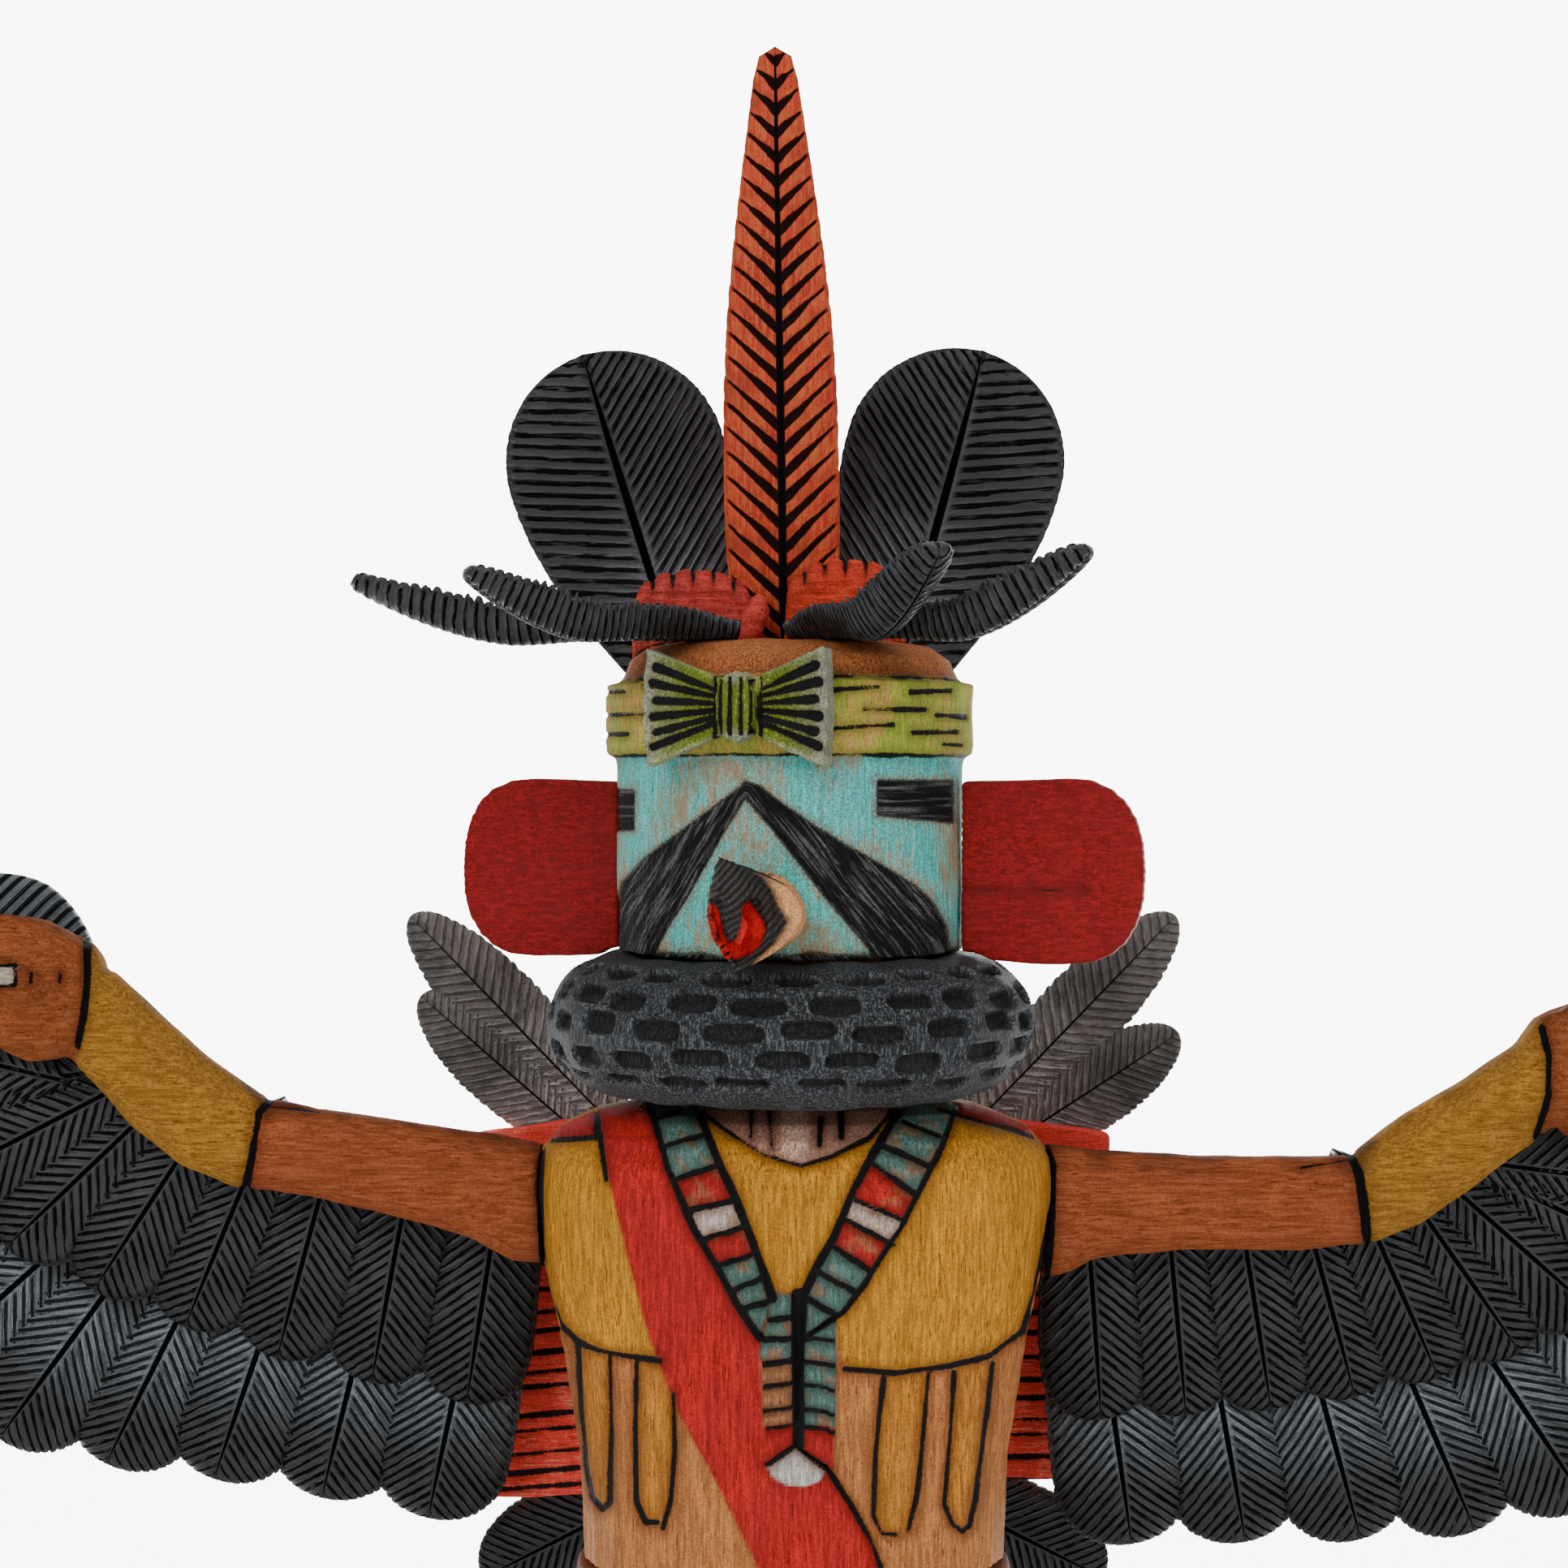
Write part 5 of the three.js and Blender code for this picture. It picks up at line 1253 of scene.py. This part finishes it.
def makeArms():
    skin, ochre, palm = tint(140, 76, 46), tint(148, 107, 44), tint(134, 75, 43)
    material = paintedWood("arm_paint", axis=0, under=(178, 104, 54), wear=0.82, pores=0.75, wearMost=0.6,
                           shade=(0.5, 0.4, 0.34), cut=0.75, cutColour=(44, 24, 16), rough=(0.7, 0.9),
                           specular=0.03)
    for word, side in sides:
        mesh = carvedCopy("arm_" + word, 0.5, 34)
        co, no = points(mesh), normals(mesh)
        u, v = sightPlane(co)
        cap = word.capitalize()
        elbow, wrist = arm["elbow" + cap], arm["wrist" + cap]
        # how far out the elbow's and wrist's lines are at each height, and what lies past them
        elbowX, wristX = (np.interp(v, *np.array(cuff)[::-1, ::-1].T) for cuff in (elbow, wrist))
        pastElbow, pastWrist = (smoothStep(-0.15, 0.15, side * (u - edge)) for edge in (elbowX, wristX))
        paint = over(over(skin, pastElbow, ochre), pastWrist, palm)
        line = nearestLine(u, v, [(0.6, elbow), (0.14, arm["elbowTip" + cap]), (0.5, wrist),
                                  (0.55, arm["seam" + cap])])
        around = np.minimum(np.abs(u - elbowX), np.abs(u - wristX)) - 0.4
        line = np.where(no[:, 1] > 0.1, np.minimum(line, around), line)
        # painted shade: darker on the arm's upward-facing top and in the crease by the elbow, kept in the
        # 'cut' field
        crease = np.exp(-((u - elbowX) / 3.0) ** 2) * smoothStep(0.0, 0.8, no[:, 2] + 0.3)
        cut = (0.75 * smoothStep(0.3, 0.9, no[:, 2]) + 0.6 * crease) * (0.6 + 0.4 * waves(co, 6, 77))
        if side < 0:
            nail = shapeDistance(u, v, arm["nailLeft"])
            facing = no[:, 1] < -0.1
            nail = np.where(facing, nail, noLine)
            paint = over(paint, smoothStep(0.05, -0.1, nail), tint(186, 178, 168))
            line = np.minimum(line, np.abs(nail) - 0.22)
            dashes = nearestLine(u, v, [(0.2, dash) for dash in arm["dashesLeft"]])
            line = np.minimum(line, np.where(facing, dashes, noLine))
        facets = np.abs(waves(co, 5.5, 71 + side)) * pastWrist
        push = -0.32 * smoothStep(0.4, -0.1, line) - 0.3 * facets + 0.1 * waves(co, 9, 72)
        # the root is left as it is and moved in to the shoulder, so that no gap shows
        join = smoothStep(41.5, 39.5, np.abs(co[:, 0]))
        co = co + no * (push * (1 - join) - 0.05)[:, None]
        co[:, 0] -= side * 0.6 * join
        setPoints(mesh, co)
        setPaint(mesh, paint)
        setField(mesh, "line", line)
        setField(mesh, "cut", cut)
        addPiece("arm_" + word + "_carved", mesh, ["arm_" + word], [material])


# Torso, with vest, sash, necklace and bib. Outlines lie on the sight plane.

dress = {
    "sash": [(-28.7, 216.3), (-27.8, 208.9), (-26.1, 201.5), (-24.1, 193.6), (-22.1, 185.7), (-19.9, 179.4),
             (-17.0, 172.1), (-13.6, 165.9), (-10.2, 159.1), (-6.9, 152.3), (-4.6, 147.2), (14.1, 147.2),
             (12.7, 150.0), (11.3, 153.4), (8.4, 158.5), (4.5, 163.6), (-1.8, 174.9), (-5.0, 182.8),
             (-8.0, 187.4), (-11.4, 193.6), (-14.8, 199.3), (-18.7, 208.3), (-21.3, 218.0)],
    "outerLeft": [(-21.3, 218.0), (-18.7, 208.3), (-14.8, 199.3), (-11.4, 193.6), (-8.0, 187.4),
                  (-5.0, 183.1)],
    "innerLeft": [(-14.5, 218.0), (-11.4, 210.0), (-8.8, 204.4), (-6.3, 198.1), (-3.7, 190.8),
                  (-3.2, 189.4)],
    "innerRight": [(16.1, 218.0), (12.4, 211.7), (9.0, 205.5), (5.9, 198.1), (3.3, 193.6), (1.4, 189.6),
                   (1.1, 184.0)],
    "outerRight": [(24.2, 218.0), (22.0, 211.7), (18.1, 203.8), (15.8, 199.3), (13.5, 195.9), (10.7, 191.3),
                   (7.3, 186.8), (1.6, 183.4)],
    "dividersLeft": [
        [(-20.4, 215.7), (-17.0, 216.7)], [(-19.9, 211.2), (-13.1, 213.4)], [(-17.3, 206.6), (-11.1, 208.9)],
        [(-15.2, 202.0), (-8.4, 203.8)], [(-13.2, 197.7), (-7.5, 199.7)], [(-11.4, 193.6), (-6.2, 195.6)],
        [(-8.7, 190.2), (-5.0, 192.0)], [(-7.8, 187.3), (-4.1, 188.5)]],
    "dividersRight": [
        [(16.1, 215.2), (21.5, 212.9)], [(13.3, 211.7), (19.7, 208.6)], [(11.3, 209.3), (18.2, 204.1)],
        [(8.9, 203.8), (16.5, 200.3)], [(7.3, 201.1), (14.8, 196.7)], [(5.8, 196.9), (11.4, 192.9)],
        [(3.8, 193.0), (8.7, 190.1)], [(1.8, 189.4), (5.9, 186.7)]],
    "pendantLeft": [(-3.2, 190.2), (-4.0, 185.1), (-5.0, 181.1), (-4.7, 174.9), (-4.5, 169.3), (-4.1, 163.6),
                    (0.2, 166.7), (-0.1, 189.6)],
    "pendantRight": [(1.4, 183.4), (6.3, 185.7), (6.3, 174.9), (5.9, 163.6), (0.5, 166.7)],
    "pendantLevels": [186.5, 183.4, 179.7, 176.3, 172.7, 170.1],
    "middleGap": [(0.6, 189.6), (0.7, 167.3)],
    "shell": [(-3.9, 164.0), (0.2, 166.7), (4.8, 163.6), (3.9, 161.9), (1.6, 161.0), (-1.2, 161.3),
              (-3.2, 162.5)],
    "shellTop": [(-4.1, 164.2), (0.2, 167.2), (4.9, 163.5)],
    "bib": [(-14.8, 219.1), (-13.6, 216.8), (-10.2, 214.0), (-4.6, 210.3), (1.1, 208.6), (5.6, 210.0),
            (11.3, 212.9), (14.1, 216.3), (15.2, 219.1)],
    "bibStrokes": [[(-6.3, 217.1), (-6.3, 212.9)], [(-3.6, 216.8), (-3.3, 211.4)],
                   [(4.0, 215.7), (3.8, 211.7)], [(7.0, 216.8), (7.0, 212.9)]],
    "vestLeft": [(-37.4, 213.0), (-37.9, 206.1), (-37.7, 196.4), (-36.9, 190.8), (-34.6, 185.1),
                 (-32.1, 182.6), (-28.9, 181.4), (-24.4, 180.5), (-19.8, 179.9)],
    "vestRight": [(37.3, 213.0), (39.0, 208.9), (38.7, 203.2), (37.6, 197.6), (36.2, 190.8), (33.9, 184.0),
                  (28.8, 180.5), (22.6, 179.0), (15.2, 178.0), (7.6, 178.6)],
    "loops": [
        [(-32.1, 182.3), (-31.5, 172.1), (-30.9, 164.7), (-29.8, 159.6), (-28.4, 157.9), (-27.2, 158.8),
         (-27.0, 169.3), (-27.1, 180.6)],
        [(-23.2, 179.7), (-23.4, 169.3), (-23.3, 159.1), (-21.9, 155.9), (-20.2, 155.9)],
        [(-19.3, 155.1), (-18.2, 159.1), (-17.6, 166.4), (-17.8, 174.9)],
        [(13.3, 177.2), (12.1, 166.4), (11.8, 156.8), (13.0, 154.2), (15.2, 154.0)],
        [(16.9, 154.5), (18.3, 160.2), (19.2, 169.3), (19.9, 177.7)],
        [(23.7, 178.0), (23.2, 169.3), (22.3, 158.5), (23.4, 155.7), (24.9, 154.5), (26.0, 155.4),
         (26.8, 159.1), (28.3, 169.3), (29.4, 179.4)]],
    "loopFills": [
        [(-31.8, 181.5), (-30.9, 164.7), (-28.4, 158.2), (-27.1, 160.0), (-27.1, 180.6)],
        [(-23.2, 180.0), (-23.3, 159.1), (-21.0, 156.2), (-18.6, 157.5), (-17.6, 166.4), (-17.8, 179.0)],
        [(13.3, 178.5), (12.1, 166.4), (12.0, 156.8), (13.5, 154.5), (17.0, 155.0), (19.2, 169.3),
         (19.9, 178.0)],
        [(23.7, 179.0), (22.5, 158.5), (24.9, 155.0), (26.6, 159.1), (29.4, 179.4)]],
    "sashRight": [(5.0, 163.7), (8.4, 158.5), (11.3, 153.4), (13.0, 148.9)],
    "sashLeftTop": [(-28.7, 212.9), (-27.7, 206.6)],
    "shoulderLeft": [(-42.0, 212.4), (-37.1, 212.5), (-33.0, 212.7), (-28.6, 213.0), (-21.3, 213.0)],
    "shoulderRight": [(21.5, 217.2), (23.0, 216.7), (30.0, 214.8), (38.0, 212.3), (42.0, 211.6)],
    "shoulderSeam": [(-29.3, 218.0), (-29.0, 213.4)],
}
torsoProfile = {"share": [0, 0.22, 0.47, 0.64, 0.8, 0.88, 0.94, 0.975, 1],
                "halfWidth": [31, 31.6, 34.3, 37.0, 38.3, 37.7, 34.5, 29.1, 21.4],
                "halfDepth": [21.5, 21.2, 21.6, 22, 22, 21.5, 20.2, 18.3, 14.5]}


def makeTorso():
    mesh = carvedCopy("body", 0.42, 6, cut=(level["waist"] + 0.15, True))
    co, no = points(mesh), normals(mesh)
    x, z = co[:, 0], co[:, 2]
    share = (z - level["waist"]) / (level["collar"] - level["waist"])
    wide = np.interp(share, torsoProfile["share"], torsoProfile["halfWidth"])
    deep = np.interp(share, torsoProfile["share"], torsoProfile["halfDepth"])
    plainY = -deep * (1 - np.clip(np.abs(x) / wide, 0, 1) ** 2.5) ** 0.4
    facing = smoothStep(0.9, 0.8, np.abs(x) / wide) * smoothStep(-2, -6, co[:, 1])
    facing *= smoothStep(level["collar"] + 0.1, level["collar"] - 3.0, z)
    u, v = sightPlane(co)
    front = co[:, 1] < -1.0

    def inside(outline, soft=0.25):
        return smoothStep(soft, -soft, np.where(front, shapeDistance(u, v, outline), noLine))

    sash = inside(dress["sash"])
    strandLeft = inside(dress["outerLeft"] + dress["innerLeft"][::-1])
    strandRight = inside(dress["outerRight"] + dress["innerRight"][::-1])
    pendant = np.maximum(inside(dress["pendantLeft"]), inside(dress["pendantRight"]))
    shell = inside(dress["shell"])
    bib = inside(dress["bib"])
    # the two halves of the vest, and what of it lies between the strands
    vest = np.maximum(inside(dress["vestLeft"] + [(-14, 190), (-10, 216)]),
                      inside(dress["vestRight"] + [(6, 186), (20, 216)]))
    vest = np.maximum(vest, inside([(-16, 219), (-3, 188), (2, 186), (18, 219)]))
    loops = np.zeros(len(co))
    for outline in dress["loopFills"]:
        loops = np.maximum(loops, inside(outline))
    # burned lines
    lines = [(0.62, dress["vestLeft"][:4]), (0.42, dress["vestLeft"][3:]), (0.62, dress["vestRight"][:5]),
             (0.42, dress["vestRight"][4:]), (0.5, dress["outerLeft"]), (0.55, dress["innerLeft"]),
             (0.55, dress["innerRight"]), (0.42, dress["outerRight"]), (0.85, dress["middleGap"]),
             (0.34, dress["shellTop"]), (0.4, dress["sashRight"]), (0.26, dress["sashLeftTop"]),
             (0.3, dress["bib"]), (0.3, dress["shoulderLeft"][:4]), (0.3, dress["shoulderRight"]),
             (0.45, dress["shoulderSeam"])]
    lines += [(0.34, loop) for loop in dress["loops"]]
    lines += [(0.34, stroke) for stroke in dress["bibStrokes"]]
    line = nearestLine(u, v, lines)
    dividers = nearestLine(u, v, [(0.36, cut) for cut in dress["dividersLeft"] + dress["dividersRight"]])
    rows = np.min([np.abs(v - high + 0.12 * np.abs(u)) for high in dress["pendantLevels"]], axis=0) - 0.28
    dividers = np.minimum(dividers, np.where(pendant > 0.5, rows, noLine))
    line = np.minimum(line, dividers)
    line = np.where(front, line, noLine)
    # relief on the plain torso
    bead = np.clip(1 - np.exp(-np.clip(dividers, 0, 9) / 0.7), 0, 1)
    relief = np.where(bib > 0.5, 0.1, np.maximum(0.35 * vest, 0.75 * sash))
    relief = np.maximum(relief, (0.8 + 0.5 * bead) * np.maximum(strandLeft, strandRight))
    relief = np.maximum(relief, (1.1 + 0.5 * bead) * pendant)
    relief = np.maximum(relief, 1.8 * shell)
    relief -= 0.5 * smoothStep(0.35, -0.2, line)
    co[:, 1] += (plainY - relief - co[:, 1]) * facing
    side = (1 - facing) * -0.3 * smoothStep(0.35, -0.2, line)
    lump = 0.15 * waves(co, 12, 81) * np.where(co[:, 1] > 0, 1, 0.5)
    strokes = 0.05 * np.sin(x * cycle / 0.9 + 2.5 * waves(co, 16, 82))
    co = co + no * (side + lump + strokes)[:, None]
    setPoints(mesh, co)
    setField(mesh, "line", line)
    # paint
    red, turquoise, tan = tint(178, 34, 31), tint(88, 128, 122), tint(160, 112, 74)
    paint = np.tile(tint(184, 120, 66), (len(co), 1))
    rubbed = smoothStep(0.15, 0.75, waves(co, 3.2, 85) + 0.4 * waves(co, 1.1, 86))
    for mask, top in (
            (loops, tint(186, 122, 44)), (vest, tint(192, 134, 36)), (bib, tint(176, 132, 114)),
            (bib * smoothStep(2.6, 1.2, np.abs(u - 0.2)), tint(204, 170, 150)), (sash, red),
            (inside(dress["shoulderLeft"] + [(-21.3, 224), (-42, 224)]), tint(196, 40, 36)),
            (inside(dress["shoulderRight"] + [(42, 224), (21.5, 224)]), tint(186, 44, 38))):
        paint = over(paint, mask, top)
    beads = np.array([turquoise, turquoise, red, tint(206, 190, 180), red, turquoise, turquoise, turquoise])
    for strand, cuts in ((strandLeft, dress["dividersLeft"]), (strandRight, dress["dividersRight"])):
        # how many dividers lie above each point says which bead it is on
        run = np.zeros(len(co), int)
        for (ax, ay), (bx, by) in cuts[1:]:
            run += (v - ay) * (bx - ax) - (by - ay) * (u - ax) < 0
        paint = over(paint, strand, over(beads[run], 0.6 * rubbed, tan))
    left = inside(dress["pendantLeft"])
    for mask, top in (
            (left, tan), (left * smoothStep(179.5, 180.5, v), turquoise),
            (inside(dress["pendantRight"]), turquoise), (pendant * rubbed * 0.7, tan),
            (pendant * smoothStep(170.3, 169.9, v), red), (shell, tint(196, 192, 186))):
        paint = over(paint, mask, top)
    setPaint(mesh, paint)
    material = paintedWood("torso_paint", under=(190, 134, 76), wear=0.84, wearMost=0.5,
                           shade=(0.5, 0.42, 0.36), scorch=0.75, speckle=0.24, grainDepth=0.24, streak=0.75,
                           pores=0.8, flecks=0.5)
    addPiece("torso_carved", mesh, ["body"], [material])


# Kilt, legs and moccasins, plainer

lower = {"hem": 86.3, "sole": 16.5, "shoeTop": 29.3, "beltDrop": 6.0, "red": (3, 6.4), "green": (7.4, 9.4)}


def makeLower():
    mesh = carvedCopy("body", 0.75, 8, cut=(level["waist"] - 0.15, False))
    co, no = points(mesh), normals(mesh)
    x, y, z = co.T
    around = np.arctan2(y, x)
    paint = np.tile(tint(170, 106, 58), (len(co), 1))
    rise = z - lower["hem"]
    belt = level["waist"] - lower["beltDrop"]
    white = (rise > -0.5) & (np.hypot(x / 41, y / 32) > 0.5) | (rise > 4)
    red, green = ((rise > low) & (rise < high) for low, high in (lower["red"], lower["green"]))
    shoes = z < lower["shoeTop"]
    for part, top in ((white, tint(206, 200, 188)), (z > belt, tint(112, 60, 34)), (red, tint(150, 44, 34)),
                      (green, tint(70, 104, 70)), (shoes, tint(140, 60, 34))):
        paint[part] = top
    line = np.full(len(co), noLine)
    for high, half in zip(lower["red"] + lower["green"], (0.3, 0.3, 0.2, 0.2)):
        line = np.minimum(line, np.abs(rise - high) - half)
    line = np.where(rise > 1.5, line, noLine)
    for high, half in ((belt, 0.3), (lower["shoeTop"], 0.3), (lower["sole"], 0.22)):
        line = np.minimum(line, np.abs(z - high) - half)
    folds = 0.35 * np.sin(around * 14 + 1.5 * waves(co, 40, 92)) * smoothStep(40, 0, rise) * (rise > 0)
    push = 0.16 * waves(co, 11, 91) - 0.25 * smoothStep(0.5, -0.2, line)
    push += folds * smoothStep(0.7, 0.3, np.abs(no[:, 2]))
    setPoints(mesh, co + no * (push - 0.35)[:, None])
    setPaint(mesh, paint)
    setField(mesh, "line", line)
    material = paintedWood("kilt_paint", under=(184, 140, 96), wear=0.84, wearMost=0.6,
                           shade=(0.72, 0.66, 0.58))
    addPiece("kilt_and_legs_carved", mesh, ["body"], [material])


# Base

base = {"radius": 54.0, "height": 14.0, "edge": 1.6}


def makeBase():
    bm = bmesh.new()
    bmesh.ops.create_cone(bm, cap_ends=True, segments=120, radius1=base["radius"], radius2=base["radius"],
                          depth=base["height"])
    bmesh.ops.translate(bm, verts=bm.verts[:], vec=(0, 0, base["height"] / 2))
    top = [e for e in bm.edges if all(v.co.z > base["height"] - 0.1 for v in e.verts)]
    bmesh.ops.bevel(bm, geom=top, offset=base["edge"], segments=5, profile=0.5, affect="EDGES", material=-1)
    mesh = meshFrom(bm, "base")
    setPoints(mesh, rawPoints(mesh))
    setField(mesh, "line", np.full(len(mesh.vertices), noLine))
    material = paintedWood("stand_wood", colour=(112, 62, 30), under=(140, 84, 44), axis=0, wear=0.74,
                           shade=(0.55, 0.48, 0.42), rough=(0.35, 0.6))
    addPiece("base_turned", mesh, ["base"], [material])


makeStage()
blackLook = {"colour": (31, 32, 34), "second": (25, 25, 26), "stroke": (0.4, 0.34), "rib": 0.03,
             "dustAndSheenColour": (112, 120, 126), "dustAll": 0.06, "barbDark": 0.92, "rough": (0.34, 0.56),
             "lineColour": (2, 2, 2), "lineDepth": 0.4, "wander": 0.8, "faint": 0.3, "gap": 0.12,
             "strokeEnd": 0.99, "specular": 0.35}
blackPaint = featherPaint("feather_paint", blackLook)
curledPaint = featherPaint("curled_feather_paint", dict(blackLook, colour=(27, 27, 29), second=(20, 20, 21),
                           stroke=(0.3, 0.26), faint=0.1, dustAll=0.14))
makeCrest()
makeRoundFeathers(blackPaint)
makeSideFeathers(curledPaint)
makeWings(blackPaint)
makeCapeFeathers()
makeTail(blackPaint)
makeRuff()
makeHead()
makeEars()
makePanel()
makeBeak()
makeBow()
makeTufts()
makeArms()
makeTorso()
makeLower()
makeBase()

for grid in gridStore.values():
    bpy.data.meshes.remove(grid)
